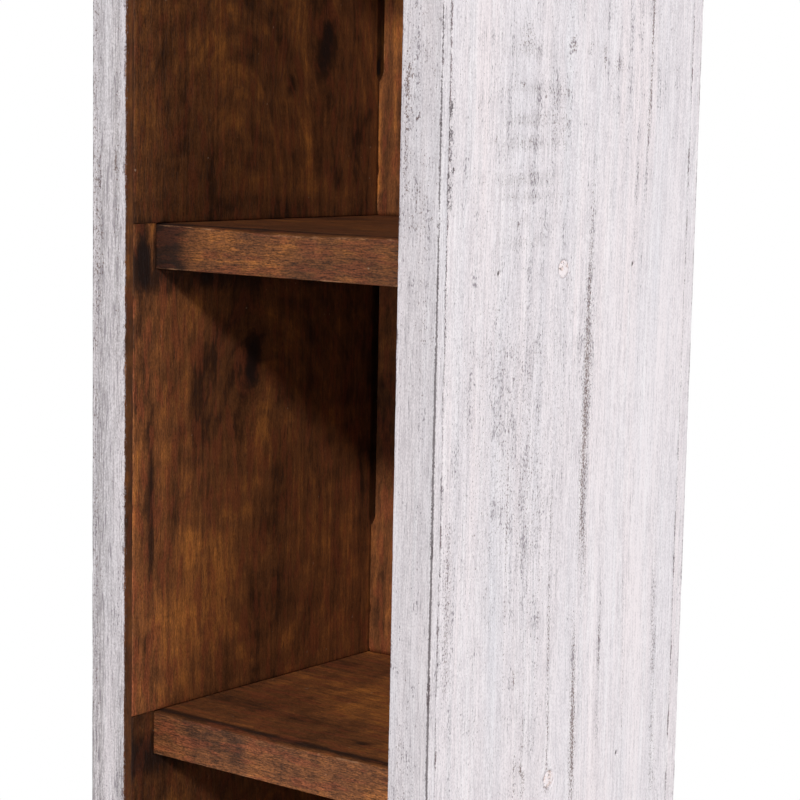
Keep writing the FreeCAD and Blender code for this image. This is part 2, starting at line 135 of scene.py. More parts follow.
class TowerSizes(bpy.types.PropertyGroup):
    """Edges, wear and mesh spacing of the boards"""

    outer_arris: length_property("Outer arris", "Rounding of the whitewashed boards' edges", 0.6)
    seam_arris: length_property("Seam arris", "Rounding of edges that meet in a seam", 0.2)
    lining_arris: length_property("Lining arris", "Rounding of the lining boards' edges", 0.5)
    shelf_nose: length_property("Shelf nose", "Rounding of the shelves' front edges", 0.5)
    nick: length_property("Nick", "Deepest chip in an outer edge", 0.7)
    hollow: length_property("Hollow", "Unevenness of the outer faces", 0.15)
    width_step: length_property("Width step", "Mesh spacing across a board", 1.8)
    grain_step: length_property("Grain step", "Mesh spacing along a board", 2.2)
    marked_width_step: length_property("Marked width step", "Mesh spacing across the marked side", 1.0)
    marked_grain_step: length_property("Marked grain step", "Mesh spacing along its marked stretch", 1.5)
    edge_step: length_property("Edge step", "Mesh spacing along narrow strips and noses", 1.2)


class TowerColours(bpy.types.PropertyGroup):
    """Colours of the finishes"""

    paint_warm: colour_property("Warm whitewash", "Whitewash where the wood warms it", shade(233, 223, 224))
    paint_cool: colour_property("Cool whitewash", "Thicker, bluish whitewash", shade(222, 219, 223))
    paint_brushed: colour_property("Brushed white", "Fresh streaks of white on top", shade(240, 237, 238))
    grime: colour_property("Grime", "Years of handling on the front edges", shade(164, 157, 156))
    dirt: colour_property("Dirt", "Dirt in the joints between whitewashed boards", shade(58, 48, 50))
    pore: colour_property("Pores", "Grey wood seen in pores and worn places", shade(132, 122, 130))
    bare: colour_property("Bare wood", "Wood where the paint is off", shade(96, 70, 58))
    stain_deep: colour_property("Deep stain", "Darkest bands of the brown lining", shade(52, 31, 20))
    stain_middle: colour_property("Middle stain", "Most of the brown lining", shade(110, 66, 37))
    stain_light: colour_property("Light stain", "Lightest bands of the brown lining", shade(166, 102, 48))
    stain_warm: colour_property("Warm stain", "Reddish clouds in the brown lining", shade(114, 58, 36))
    stain_worn: colour_property("Rubbed stain", "Lining where its edges are rubbed", shade(168, 122, 88))
    dust: colour_property("Dust", "Pale flecks on the lining", shade(168, 140, 120))
    # The knot colour also draws the band of painted shade under each shelf
    knot: colour_property("Knots", "Knots and gum lines in the lining", shade(34, 24, 22))
    plug: colour_property("Plugs", "Wooden plugs over the screws", shade(222, 202, 196))
    steel: colour_property("Steel", "Brads and screws", shade(78, 74, 72))
    steel_stained: colour_property("Stained steel", "Brown film on the brads and screws", shade(60, 50, 46))


class TowerStudio(bpy.types.PropertyGroup):
    """Camera and lamps"""

    eye: bpy.props.FloatVectorProperty(
        name="Eye", description="Where the camera stands", default=(0.4631, -0.5986, 0.5860), unit="LENGTH"
    )
    turn: bpy.props.FloatProperty(
        name="Turn", description="Camera's turn to the left", default=math.radians(37.893), subtype="ANGLE"
    )
    tilt: bpy.props.FloatProperty(
        name="Tilt", description="Camera's tilt above level", default=math.radians(-7.969), subtype="ANGLE"
    )
    roll: bpy.props.FloatProperty(
        name="Roll", description="Camera's roll", default=math.radians(1.104), subtype="ANGLE"
    )
    lens: bpy.props.FloatProperty(name="Lens", description="Focal length", default=101.58, unit="CAMERA")
    shift: bpy.props.FloatVectorProperty(
        name="Shift", description="Sideways and upward shift of the picture", size=2, default=(0.0140, 0.0416)
    )
    key: power_property("Key lamp", "Power of the front lamp", 154.0)
    back: power_property("Back lamp", "Power of the rear lamp", 80.0)
    side: power_property("Side lamp", "Power of the right lamp", 20.0)
    sky: bpy.props.FloatProperty(name="Sky", description="Strength of the even light all round", default=0.22)


# Shapes that vary smoothly over a board


def ease(amount):
    """Rises from 0 to 1 on a smooth curve, and is flat before and after."""
    amount = np.clip(amount, 0, 1)
    return amount * amount * (3 - 2 * amount)


def uneven(x, y, seed):
    """Random heights from -1 to 1 at whole numbers of x and y, joined by smooth curves, and repeated."""
    count = 128
    heights = np.random.default_rng(seed).uniform(-1, 1, (count, count))
    column, row = np.floor(x).astype(int), np.floor(y).astype(int)
    u, v = ease(x - column), ease(y - row)
    lower, upper = (
        heights[column % count, line % count] * (1 - u) + heights[(column + 1) % count, line % count] * u
        for line in (row, row + 1)
    )
    return lower * (1 - v) + upper * v


def even_and_fine(start, end, step, fine, clearance, digits):
    """Even places about one step apart with the fine ones added, and the even ones near those left out."""
    even = np.linspace(start, end, max(2, round((end - start) / step) + 1))
    fine = np.array(fine)
    if not len(fine):
        return even
    clear = np.abs(even[:, None] - fine[None, :]).min(1) > clearance * step
    clear[[0, -1]] = True
    return np.unique(np.round(np.concatenate([even[clear], fine]), digits))


def steps_between(start, end, step, fine=()):
    """Places about one step apart, with the fine ones that lie well inside both ends taking over."""
    inside = [place for place in fine if start + 0.4 * step < place < end - 0.4 * step]
    return even_and_fine(start, end, step, inside, 0.3, 7)


# How far from an edge its wear fades
EDGE_FADE = 0.2 * MM

# Mesh lines round a hole and near a rounded end, as shares of the hole's radius and of the rounding
RINGS = np.array((0.0, 0.5, 0.96, 1.0, 1.3, 1.7, 2.2))
END_ROUNDING = np.array((0.06, 0.2, 0.4, 0.7, 1.0))


def ring_places(centres, radius):
    """Mesh lines that draw holes of one radius."""
    return [centre + side * ring * radius for centre in centres for ring in RINGS for side in (-1, 1)]


def board_sections(low, high, step, end_round, fine=()):
    """Places of a board's sections: about one step apart, and close together where its ends are rounded."""
    near = END_ROUNDING * end_round
    sections = np.concatenate([steps_between(low, high, step, fine), low + near, high - near])
    return np.unique(np.round(sections, 7))


@dataclass
class Mark:
    """A knot, streak or light patch. Its middle is given in millimetres from the tower's front or left side
    and above the floor. Then come its half width, half length, tone, which darkens above 0, and lean."""

    across: float
    along: float
    width: float
    length: float
    tone: float
    lean: float = 0.0
    knot: bool = False


@dataclass
class Skin:
    """A board's surface: points, outward directions, closeness to an edge, faces, and its grain's axes."""

    points: np.ndarray
    outward: np.ndarray
    edge: np.ndarray
    faces: list
    axes: tuple

    def sink(self, depth):
        """Lower the surface by a depth at each point."""
        self.points -= self.outward * depth[:, None]

    def bore(self, axis, side, centres, radius, depth):
        """Sink round holes: square rings of the mesh round each centre are drawn out to circles, by the ratio
        of a point's larger offset to its distance, and all within the radius goes down by the depth."""
        first, second = [other for other in (X, Y, Z) if other != axis]
        facing = self.outward[:, axis] * side > 0.99
        for centre in centres:
            offset = self.points[:, [first, second]] - np.array(centre)
            reach = np.abs(offset).max(1)
            close = facing & (reach < RINGS[-1] * radius) & (reach > 1e-9)
            distance = np.hypot(*offset[close].T)
            pull = ease((RINGS[-1] - reach[close] / radius) / (RINGS[-1] - 1))
            stretch = 1 + pull * (reach[close] / distance - 1)
            self.points[np.ix_(close, [first, second])] = np.array(centre) + offset[close] * stretch[:, None]
            self.points[:, axis] -= side * depth * (facing & (reach < 0.98 * radius))


def carried_board(box, axes, lines, sections, rounds, end_round, insets=None, arc=5):
    """The skin of a board: a rectangle with rounded corners, carried along the grain.

    At each section the four sides stand in from the box by their insets, and each corner is a quarter circle
    of its own radius. Near both ends every side comes in by r - sqrt(r^2 - (r - distance)^2), which rounds
    the end. Lines are the places of mesh lines on the four sides: under, right, over, left."""
    across, thick, along = axes
    low, high = box
    count = len(sections)
    insets = np.zeros((count, 4)) if insets is None else insets
    from_end = np.minimum(sections - sections[0], sections[-1] - sections)
    short = np.maximum(end_round - from_end, 0)
    drop = end_round - np.sqrt(end_round**2 - short**2)
    under = low[thick] + insets[:, 0] + drop
    right = high[across] - insets[:, 1] - drop
    over = high[thick] - insets[:, 2] - drop
    left = low[across] + insets[:, 3] + drop

    column = np.ones((count, 1))
    parts = []
    edges = []
    directions = ((0, -1), (1, 0), (0, 1), (-1, 0))
    corner_places = ((right, under), (right, over), (left, over), (left, under))
    corner_signs = ((1, -1), (1, 1), (-1, 1), (-1, -1))
    for side in range(4):
        # The flat part of the side
        places = np.asarray(lines[side])
        level = (under, right, over, left)[side]
        spread = column * places
        held = level[:, None] * np.ones(len(places))
        pair = (spread, held) if side in (0, 2) else (held, spread)
        parts.append((*pair, *(np.full_like(spread, part) for part in directions[side])))
        axis = across if side in (0, 2) else thick
        distance = np.minimum(places - low[axis], high[axis] - places)
        edges.append(np.exp(-np.maximum(distance - rounds.mean(), 0) / EDGE_FADE))

        # and the round corner after it
        angles = np.radians(-90 + 90 * side + np.linspace(0, 90, arc + 1))
        turns = (column * np.cos(angles), column * np.sin(angles))
        radius = rounds[:, side]
        arcs = (
            (place - sign * radius)[:, None] + radius[:, None] * turn
            for place, sign, turn in zip(corner_places[side], corner_signs[side], turns)
        )
        parts.append((*arcs, *turns))
        edges.append(np.ones(arc + 1))

    around = sum(part[0].shape[1] for part in parts)
    points = np.zeros((count, around, 3))
    outward = np.zeros((count, around, 3))
    points[..., across], points[..., thick], outward[..., across], outward[..., thick] = (
        np.concatenate([part[index] for part in parts], axis=1) for index in range(4)
    )
    points[..., along] = sections[:, None]
    edge = column * np.concatenate(edges)

    index = np.arange(count * around).reshape(count, around)
    following = np.roll(index, -1, axis=1)
    quads = np.stack([index[:-1], following[:-1], following[1:], index[1:]], axis=-1).reshape(-1, 4)
    faces = quads.tolist() + [index[0, ::-1].tolist(), index[-1].tolist()]
    if np.linalg.det(np.eye(3)[list(axes)]) < 0:
        faces = [face[::-1] for face in faces]
    return Skin(points.reshape(-1, 3), outward.reshape(-1, 3), edge.reshape(-1), faces, axes)


def notched_board(box, side, across_lines, along_lines, corner, arris):
    """The skin of a lining board: two sheets over a grid of depth and height, with walls round the outline.

    Cells behind and above the corner are left out. The sheet that shows falls back by
    r - sqrt(r^2 - (r - distance)^2) within r of the outline, where distance is measured in the front strip or
    in the lower part, whichever is more."""
    low, high = box
    depth, height = np.meshgrid(across_lines, along_lines, indexing="ij")

    def inside(near, far, bottom, top):
        return np.minimum(np.minimum(depth - near, far - depth), np.minimum(height - bottom, top - height))

    distance = np.maximum(
        inside(low[Y], corner[0], low[Z], high[Z]), inside(low[Y], high[Y], low[Z], corner[1])
    )
    short = np.clip(arris - distance, 0, arris)
    fall = arris - np.sqrt(arris**2 - short**2)
    middle_depth = (across_lines[1:] + across_lines[:-1])[:, None] / 2
    middle_height = (along_lines[1:] + along_lines[:-1])[None, :] / 2
    kept = ~((middle_depth > corner[0]) & (middle_height > corner[1]))

    face = high[X] if side > 0 else low[X]
    rear = low[X] if side > 0 else high[X]
    index = np.arange(depth.size).reshape(depth.shape)
    front_points = np.stack([face - side * fall, depth, height], axis=-1).reshape(-1, 3)
    rear_points = np.stack([np.full_like(depth, rear), depth, height], axis=-1).reshape(-1, 3)
    cells = np.stack([index[:-1, :-1], index[1:, :-1], index[1:, 1:], index[:-1, 1:]], axis=-1)[kept]
    front_faces = cells if side > 0 else cells[:, ::-1]
    rear_faces = (cells[:, ::-1] if side > 0 else cells) + depth.size

    # A wall stands wherever a kept cell borders one that isn't kept
    padded = np.pad(kept, 1).astype(int)
    across_change = padded[1:, 1:-1] - padded[:-1, 1:-1]
    along_change = padded[1:-1, 1:] - padded[1:-1, :-1]
    walls = []
    for lift, (first, second) in ((1, (0, 1)), (-1, (1, 0))):
        column, row = np.nonzero(across_change == lift)
        walls.append(np.stack([index[column, row + second], index[column, row + first]], axis=-1))
    for lift, (first, second) in ((1, (0, 1)), (-1, (1, 0))):
        column, row = np.nonzero(along_change == lift)
        walls.append(np.stack([index[column + first, row], index[column + second, row]], axis=-1))
    rim = np.concatenate(walls)
    rim = np.stack([rim[:, 1], rim[:, 0], rim[:, 0] + depth.size, rim[:, 1] + depth.size], axis=-1)
    rim = rim if side > 0 else rim[:, ::-1]

    faces = np.concatenate([front_faces, rear_faces, rim])
    points = np.concatenate([front_points, rear_points])
    used = np.unique(faces)
    renumber = np.zeros(len(points), int)
    renumber[used] = np.arange(len(used))
    outward = np.zeros((len(points), 3))
    outward[: depth.size, X] = side
    outward[depth.size :, X] = -side
    edge = np.concatenate([np.exp(-distance.reshape(-1) / EDGE_FADE)] * 2)
    return Skin(points[used], outward[used], edge[used], renumber[faces].tolist(), (Y, X, Z))


# Marks that the wood shows, in millimetres from the tower's front and above the floor

# Spots of dirt by the side's front joint and of bare wood further back
JOINT_SPOTS = ((4.7, 575.2), (4.6, 573.6), (6.6, 570.9), (4.3, 569.3), (5.8, 560.6))
PAINT_SPOTS = (
    (41.6, 596.5), (49.1, 594.7), (53.5, 593.7), (37.0, 581.8), (45.6, 580.4), (27.3, 580.3), (44.9, 561.1),
    (47.9, 561.1), (60.2, 561.2), (63.0, 561.1), (40.5, 554.6), (65.8, 595.3), (65.3, 584.6),
)

SIDE_MARKS = [
    Mark(68, 609, 2.0, 3.2, 0.8, knot=True),
    Mark(77.5, 608.5, 1.3, 2.0, 0.8, knot=True),
    Mark(86, 606, 1.0, 4.0, 0.8),
    Mark(95, 604, 3.5, 2.4, 0.6, lean=-0.6),
    Mark(43, 611, 4.5, 5.0, 0.55),
    Mark(65, 374, 2.4, 3.0, 1.0, knot=True),
    Mark(62, 588, 7.0, 13.0, 0.35),
    Mark(114.4, 620, 0.5, 8.0, 0.5),
    Mark(114.4, 606, 0.55, 30.0, 0.9, lean=0.02),
    Mark(114.1, 589, 0.6, 10.0, 0.8, lean=0.02),
    Mark(113.3, 556, 0.5, 30.0, 0.6, lean=0.02),
    Mark(81.5, 548, 1.6, 22.0, 0.6, lean=0.02),
    Mark(80.4, 492, 1.7, 44.0, 0.9, lean=0.01),
    Mark(82.6, 490, 2.6, 38.0, 0.55),
    Mark(83.8, 442, 1.9, 18.0, 0.8, lean=-0.1),
    Mark(78.6, 400, 1.5, 36.0, 0.85, lean=-0.03),
    Mark(79.2, 375, 2.4, 30.0, 0.5),
    Mark(93.2, 440, 0.9, 28.0, 0.8),
    Mark(93.5, 415, 1.1, 10.0, 0.8),
    Mark(93.7, 393, 1.2, 18.0, 0.8),
    Mark(106.6, 450, 0.7, 24.0, 0.75, lean=-0.04),
    Mark(108.3, 418, 0.5, 16.0, 0.8, lean=-0.05),
    Mark(109.6, 378, 0.6, 28.0, 1.2, lean=-0.03),
    Mark(112.0, 430, 0.7, 30.0, 0.5, lean=-0.03),
    Mark(62.8, 450, 0.8, 22.0, 0.5),
    Mark(63.7, 413, 0.7, 20.0, 1.0, lean=-0.02),
    Mark(64.4, 386, 0.6, 12.0, 0.9),
    Mark(57.0, 430, 1.4, 40.0, 0.3),
    Mark(72.0, 455, 0.6, 30.0, 0.4),
    Mark(38.6, 440, 0.5, 50.0, 0.45),
    Mark(44.5, 412, 0.8, 3.0, 0.8),
    Mark(46.0, 381, 0.5, 9.0, 1.2),
    Mark(49.7, 381.5, 0.6, 3.0, 1.5, lean=-0.3),
    Mark(51.0, 376, 0.9, 4.0, 0.8, lean=0.2),
    Mark(50.0, 392, 0.6, 6.0, 0.6),
    Mark(7.8, 438, 2.4, 28.0, 0.6),
    *(Mark(3.4, height, 0.8, 2.6, 1.0, lean=-0.35) for height in (478, 470.4, 462.5, 452.6, 444, 435.5, 425)),
    Mark(5.0, 580, 1.7, 22.0, 0.45),
    Mark(4.6, 597.6, 0.7, 2.0, 0.7),
    Mark(4.7, 588.5, 0.9, 2.6, 1.5, lean=0.12),
    Mark(4.7, 581.3, 0.9, 1.6, 1.7),
    *(Mark(across, height, 0.6, 0.8, 1.4) for across, height in JOINT_SPOTS),
    Mark(4.7, 565.5, 0.8, 1.8, 1.4),
    Mark(4.5, 562.1, 0.6, 1.7, 1.2, lean=0.3),
    *(Mark(across, height, 0.45, 0.9, 0.9) for across, height in PAINT_SPOTS),
    Mark(18.2, 590.1, 0.4, 2.6, 0.9),
    Mark(126.5, 440, 2.4, 34.0, 0.55),
    Mark(129.0, 385, 2.6, 40.0, 0.65, lean=-0.03),
    Mark(117, 430, 6.0, 90.0, -1.3),
    Mark(100, 410, 4.0, 80.0, -0.9),
    Mark(88, 410, 3.4, 70.0, -1.2),
    Mark(70, 410, 3.4, 60.0, -0.7),
    Mark(50, 420, 6.0, 60.0, 0.2),
    Mark(108, 430, 26.0, 110.0, -0.35),
    Mark(40, 490, 28.0, 45.0, 0.3),
    Mark(107.5, 560, 0.9, 18.0, 0.55, lean=0.03),
    Mark(104.5, 535, 0.8, 12.0, 0.5, lean=0.03),
    Mark(40, 575, 22.0, 30.0, 0.1),
    Mark(127, 520, 12, 70, -0.9),
    Mark(96, 510, 8, 60, -0.6),
]

# Rows across the grain that the saw left, which grey the paint
SAWN_MARKS = {
    "right_side_panel": [
        Mark(45, 607, 12, 2.0, 0.14),
        Mark(47, 595.6, 12, 1.5, 0.16),
        Mark(45, 586, 13, 1.8, 0.2),
        Mark(44, 579, 14, 2.2, 0.18),
        Mark(42, 568, 18, 2.0, 0.2),
        Mark(47, 563, 15, 1.2, 0.22),
        Mark(42, 555, 13, 1.8, 0.1),
        Mark(42, 549, 13, 2.0, 0.16),
    ]
}

# The rest of the sides' marks are drawn at random: a seed, and the stretch of the board in millimetres
SIDE_DRAWS = {
    "left_side_panel": ((31, ((0, 0), (DEPTH, HEIGHT))),),
    "right_side_panel": ((32, ((0, 0), (DEPTH, 350))), (33, ((0, 700), (DEPTH, HEIGHT)))),
}

WALL_MARKS = [
    Mark(26, 590, 4.5, 70.0, 0.2),
    Mark(18, 600, 4.0, 60.0, 0.15),
    Mark(50, 600, 17.0, 30.0, -0.45, lean=-0.1),
    Mark(50, 612, 2.6, 4.0, 0.45),
    Mark(76, 616, 5.0, 14.0, 0.6, lean=-0.15),
    Mark(84, 630, 6.0, 30.0, -0.2),
    Mark(101, 610, 4.8, 10.5, 1.25, lean=0.2, knot=True),
    Mark(82, 596, 2.0, 3.6, 0.8, lean=0.3, knot=True),
    Mark(92, 585, 3.0, 20.0, -0.3),
    Mark(40, 570, 5.5, 7.0, 0.2, lean=0.7),
    Mark(19, 589, 3.0, 4.0, 0.45),
    Mark(123, 583, 3.5, 6.0, 0.7, lean=0.5),
    # Painted shade: the dark rounded end of the slit beside the back board
    Mark(131.2, 604, 0.9, 3.0, 1.6),
    Mark(109, 564, 4.5, 4.5, 0.6),
    Mark(60, 574, 10.0, 9.0, 0.4, lean=0.5),
    Mark(65, 553, 60.0, 5.5, 0.28),
    Mark(118, 590, 1.2, 60.0, 0.4),
    Mark(113, 600, 1.6, 50.0, -0.3),
]

LOWER_WALL_MARKS = [
    Mark(8.5, 545, 2.8, 16.0, 0.9, lean=-0.06),
    Mark(12.6, 542, 0.8, 9.0, -0.8),
    Mark(36, 520, 2.0, 16.0, -0.5),
    Mark(60, 500, 20.0, 30.0, 0.2),
]

# The lining board whose whole face was measured, so that none of its marks are random
WHOLLY_MEASURED = "left_liner_4"

# Middles of the ovals in the figure, across and above the floor
HEARTS = {"left_liner_4": (52, 572), "left_liner_3": (70, 470)}

LEFT_FACING_MARKS = [
    Mark(1.8, 600, 2.0, 300, 0.42),
    Mark(2.7, 612.8, 0.5, 0.7, 1.6),
    Mark(5.0, 543, 0.4, 9, 1.1),
    Mark(3.2, 545, 1.6, 28, 0.35),
    Mark(10.7, 570, 0.5, 4.5, 1.0, lean=-0.1),
    Mark(11.8, 560, 1.4, 60, 0.3),
    Mark(7.0, 560, 1.8, 200, -0.4),
]

RIGHT_FACING_MARKS = [
    Mark(130.0, 595, 1.7, 9, 0.4),
    Mark(129.2, 585, 0.7, 25, 0.45),
    Mark(136.0, 606, 9.0, 20, 0.1),
    Mark(131.0, 604, 2.6, 9, 0.15),
    Mark(129.5, 578, 0.9, 16, 0.35),
    Mark(135.0, 622, 5.0, 9, 0.1),
    Mark(134.0, 560, 5.0, 12, 0.25),
    Mark(136.0, 450, 9.0, 60, -0.35),
    Mark(137.0, 470, 1.2, 90, 0.35),
    Mark(132.0, 400, 2.2, 60, 0.3),
    Mark(133.4, 586, 0.4, 0.5, 1.6),
]

# By height in millimetres: how dirty the joints behind the facings are, and how far the dark line on the
# corner reaches, in millimetres
SEAM_HEIGHTS = (0, 150, 300, 490, 530, 557, 562, 605, 640, 760, 880)
SEAM_DIRT = (0.5, 0.9, 0.3, 0.3, 0.9, 0.95, 0.45, 0.45, 0.9, 0.4, 0.8)
CORNER_WEAR = (0.5, 0.48, 0.62, 0.62, 0.54, 0.5, 0.5, 0.48, 0.46, 0.5, 0.45)

# How bright the measured brown boards are drawn, above 1 as painted light: a lining board near its front, and
# a shelf all over
BRIGHTNESS_AND_PAINTED_LIGHT = {"shelf_3": 1.05, "shelf_2": 1.55, "left_liner_3": 2.4, "left_liner_4": 1.0}

# Where the painted shade in the slit beside a back board begins and is full, in millimetres from the front
GAP = (129.9, 130.3)

# The heights in metres between which the right side has most of its marks
MARKED_STRETCH = (0.37, 0.625)

# How far the front edges have greyed
AGED = {"left_front_facing": 0.38, "right_front_facing": 0.1, "top_front_facing": 0.2}

# On a shelf the grain runs sideways: these are millimetres from the front and from the left
SHELF_MARKS = [
    Mark(15, 19, 3, 9, 0.9),
    Mark(16, 69, 7, 4, -0.25),
    Mark(16, 100, 7, 24, -0.2),
]

# Painted light: a broad lighter patch on the middle of the lower shelf
LOWER_SHELF_PAINTED_LIGHT = [Mark(62, 95, 28, 45, -0.55)]

BACK_BOARD_MARKS = [
    # The first two marks are painted highlight on the board's rounded left edge
    Mark(15.5, 575, 0.8, 20, -0.8),
    Mark(16, 561, 1.3, 9, -0.5),
    Mark(17.3, 588, 0.8, 13, 0.35),
    Mark(17, 555, 3, 3.5, 0.5),
    Mark(19.5, 590, 0.8, 50, 0.2),
    Mark(22.5, 600, 1.2, 40, -0.4),
]

MEASURED_MARKS = {
    "shelf_3": SHELF_MARKS,
    "shelf_2": LOWER_SHELF_PAINTED_LIGHT,
    "back_board_4": BACK_BOARD_MARKS,
    "left_front_facing": LEFT_FACING_MARKS,
    "right_front_facing": RIGHT_FACING_MARKS,
    "right_side_panel": SIDE_MARKS,
    "left_liner_4": WALL_MARKS,
    "left_liner_3": LOWER_WALL_MARKS,
}


def random_marks(seed, span, painted):
    """Knots, streaks and light patches for a board whose face wasn't measured, spread over its span."""
    draw = np.random.default_rng(seed)
    (near, bottom), (far, top) = span
    width, length = far - near, top - bottom
    share = max(1, round(length / 160))
    marks = []
    for _ in range(share):
        place = draw.uniform((near + 0.15 * width, bottom), (far - 0.1 * width, top))
        size = draw.uniform(1.5, 2.6 if painted else 5.0)
        marks.append(Mark(*place, size, size * draw.uniform(1.3, 2.4), draw.uniform(0.7, 1.2), 0.1, True))
    for _ in range(3 * share):
        place = draw.uniform((near, bottom), (far, top))
        size = draw.uniform(0.7, 2.2 if painted else 4.5)
        length_and_tone = draw.uniform(12, 60), draw.uniform(0.25, 0.8)
        marks.append(Mark(*place, size, *length_and_tone, draw.uniform(-0.04, 0.04)))
    for _ in range(share):
        place = draw.uniform((near, bottom), (far, top))
        marks.append(Mark(*place, draw.uniform(6, 16), draw.uniform(18, 40), draw.uniform(-0.5, -0.2), 0.1))
    return marks


def figure_of(across, along, marks):
    """Darkness of the marks, each exp(-(offset / half width)^2 - (offset / half length)^4), and how far
    they push the fibres aside: round a knot the fibres' own place is drawn in towards its middle."""
    tone = np.zeros_like(across)
    bend = np.zeros_like(across)
    for mark in marks:
        height = along - mark.along
        offset = across - mark.across - mark.lean * height
        bell = np.exp(-((offset / mark.width) ** 2) - (height / mark.length) ** 4)
        tone += mark.tone * bell
        if mark.knot:
            wide = np.exp(-((offset / (3.2 * mark.width)) ** 2) - (height / (3.0 * mark.length)) ** 2)
            bend -= 0.7 * offset * wide
    return tone, bend


def stand_for(node, mesh, finish):
    """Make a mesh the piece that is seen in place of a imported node."""
    mesh.materials.append(finish_of(finish))
    mesh.update()
    piece = bpy.data.objects.new(mesh.name, mesh)
    bpy.context.scene.collection.objects.link(piece)
    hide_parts(node)
    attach(piece, "root")


def add_board(node, skin, finish, marks, seed, look=(1.0, 0.7, 0.4), painted=1.0, aged=0.0, rubbed=1.0):
    """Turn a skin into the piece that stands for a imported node.

    Its mesh carries what the finishes read. For both kinds these are the place in the grain, the figure and
    the wear of the edges. A whitewashed board has its paint, its greying and, by height, the dirt in its
    joint and on its corner. A stained one has its brightness, coarseness and flame, and its arches: nested
    ovals round the board's heart, by the root of (offset across)^2 + (offset along / 1.8)^2."""
    points = skin.points
    draw = np.random.default_rng(seed)
    across, thick, along = ((points[:, axis] - LOW[axis]) / MM for axis in skin.axes)
    tone, bend = figure_of(across, along, marks)
    if finish is whitewashed_wood:
        sawn = figure_of(across, along, SAWN_MARKS.get(node, []))[0]
        aged, tone = aged + sawn, tone + 1.2 * sawn
    sway = 2.2 * uneven(across / 45, along / 150, seed + 1) + 0.8 * uneven(across / 16, along / 60, seed + 2)
    grain = np.stack([across + sway + bend, thick, along], axis=-1) * MM + draw.uniform(0.2, 0.9, 3)
    heart = HEARTS.get(node) or (draw.uniform(40, 100), along.mean() + draw.uniform(-40, 40))
    above = along - heart[1]
    rings = np.hypot(across - heart[0], above / 1.8) + 2.5 * uneven(across / 11, along / 16, seed + 6)
    arches = np.stack([across, thick, rings + 0.25 * above], axis=-1) * MM
    rub = 0.55 + 0.45 * uneven(along / 9, across / 9 + thick / 3, seed + 3)
    rub = rub + 0.3 * uneven(along / 2.5, across / 5 + thick, seed + 4)
    values = {
        "figure": tone,
        "wear": rubbed * skin.edge * np.clip(rub, 0, 1.2),
        "paint": np.broadcast_to(painted, tone.shape),
        "aged": np.broadcast_to(aged, tone.shape),
        "seam": np.interp(points[:, Z] / MM, SEAM_HEIGHTS, SEAM_DIRT),
        "corner": np.interp(points[:, Z] / MM, SEAM_HEIGHTS, CORNER_WEAR),
    }
    # The look's brightness holds painted light and painted shade on some brown boards
    vectors = {"grain": grain, "arches": arches, "look": np.broadcast_to(look, points.shape)}
    mesh = bpy.data.meshes.new(f"finished_{node}")
    mesh.from_pydata(points.tolist(), [], skin.faces)
    # The boards' flat ends, which have more than four corners, stay flat
    mesh.polygons.foreach_set("use_smooth", [len(face) <= 4 for face in skin.faces])
    for name, numbers in values.items():
        mesh.attributes.new(name, "FLOAT", "POINT").data.foreach_set("value", numbers.astype(np.float32))
    for name, numbers in vectors.items():
        kept = mesh.attributes.new(name, "FLOAT_VECTOR", "POINT")
        kept.data.foreach_set("vector", numbers.astype(np.float32).ravel())
    stand_for(node, mesh, finish)


# Shader recipes


class Amount:
    """A number or colour that changes over a surface: one node output, with Python's own arithmetic."""

    def __init__(self, recipe, socket):
        self.recipe = recipe
        self.socket = socket

    def __add__(self, other):
        return self.recipe.math("ADD", self, other)

    def __sub__(self, other):
        return self.recipe.math("SUBTRACT", self, other)

    def __rsub__(self, other):
        return self.recipe.math("SUBTRACT", other, self)

    def __mul__(self, other):
        return self.recipe.math("MULTIPLY", self, other)

    def __truediv__(self, other):
        return self.recipe.math("DIVIDE", self, other)

    def __pow__(self, other):
        return self.recipe.math("POWER", self, other)

    def __abs__(self):
        return self.recipe.math("ABSOLUTE", self)

    __radd__ = __add__
    __rmul__ = __mul__

    def rise(self, start, end):
        """0 below start, 1 above end, and a smooth curve between; start may be the higher of the two."""
        settings = {"interpolation_type": "SMOOTHSTEP"}
        values = {"Value": self, "From Min": start, "From Max": end}
        return self.recipe.node("ShaderNodeMapRange", settings, values)

    def held(self):
        """Kept between 0 and 1."""
        return self.recipe.node("ShaderNodeMath", {"operation": "ADD", "use_clamp": True}, {0: self, 1: 0.0})

    def most(self, other):
        """The larger of two."""
        return self.recipe.math("MAXIMUM", self, other)


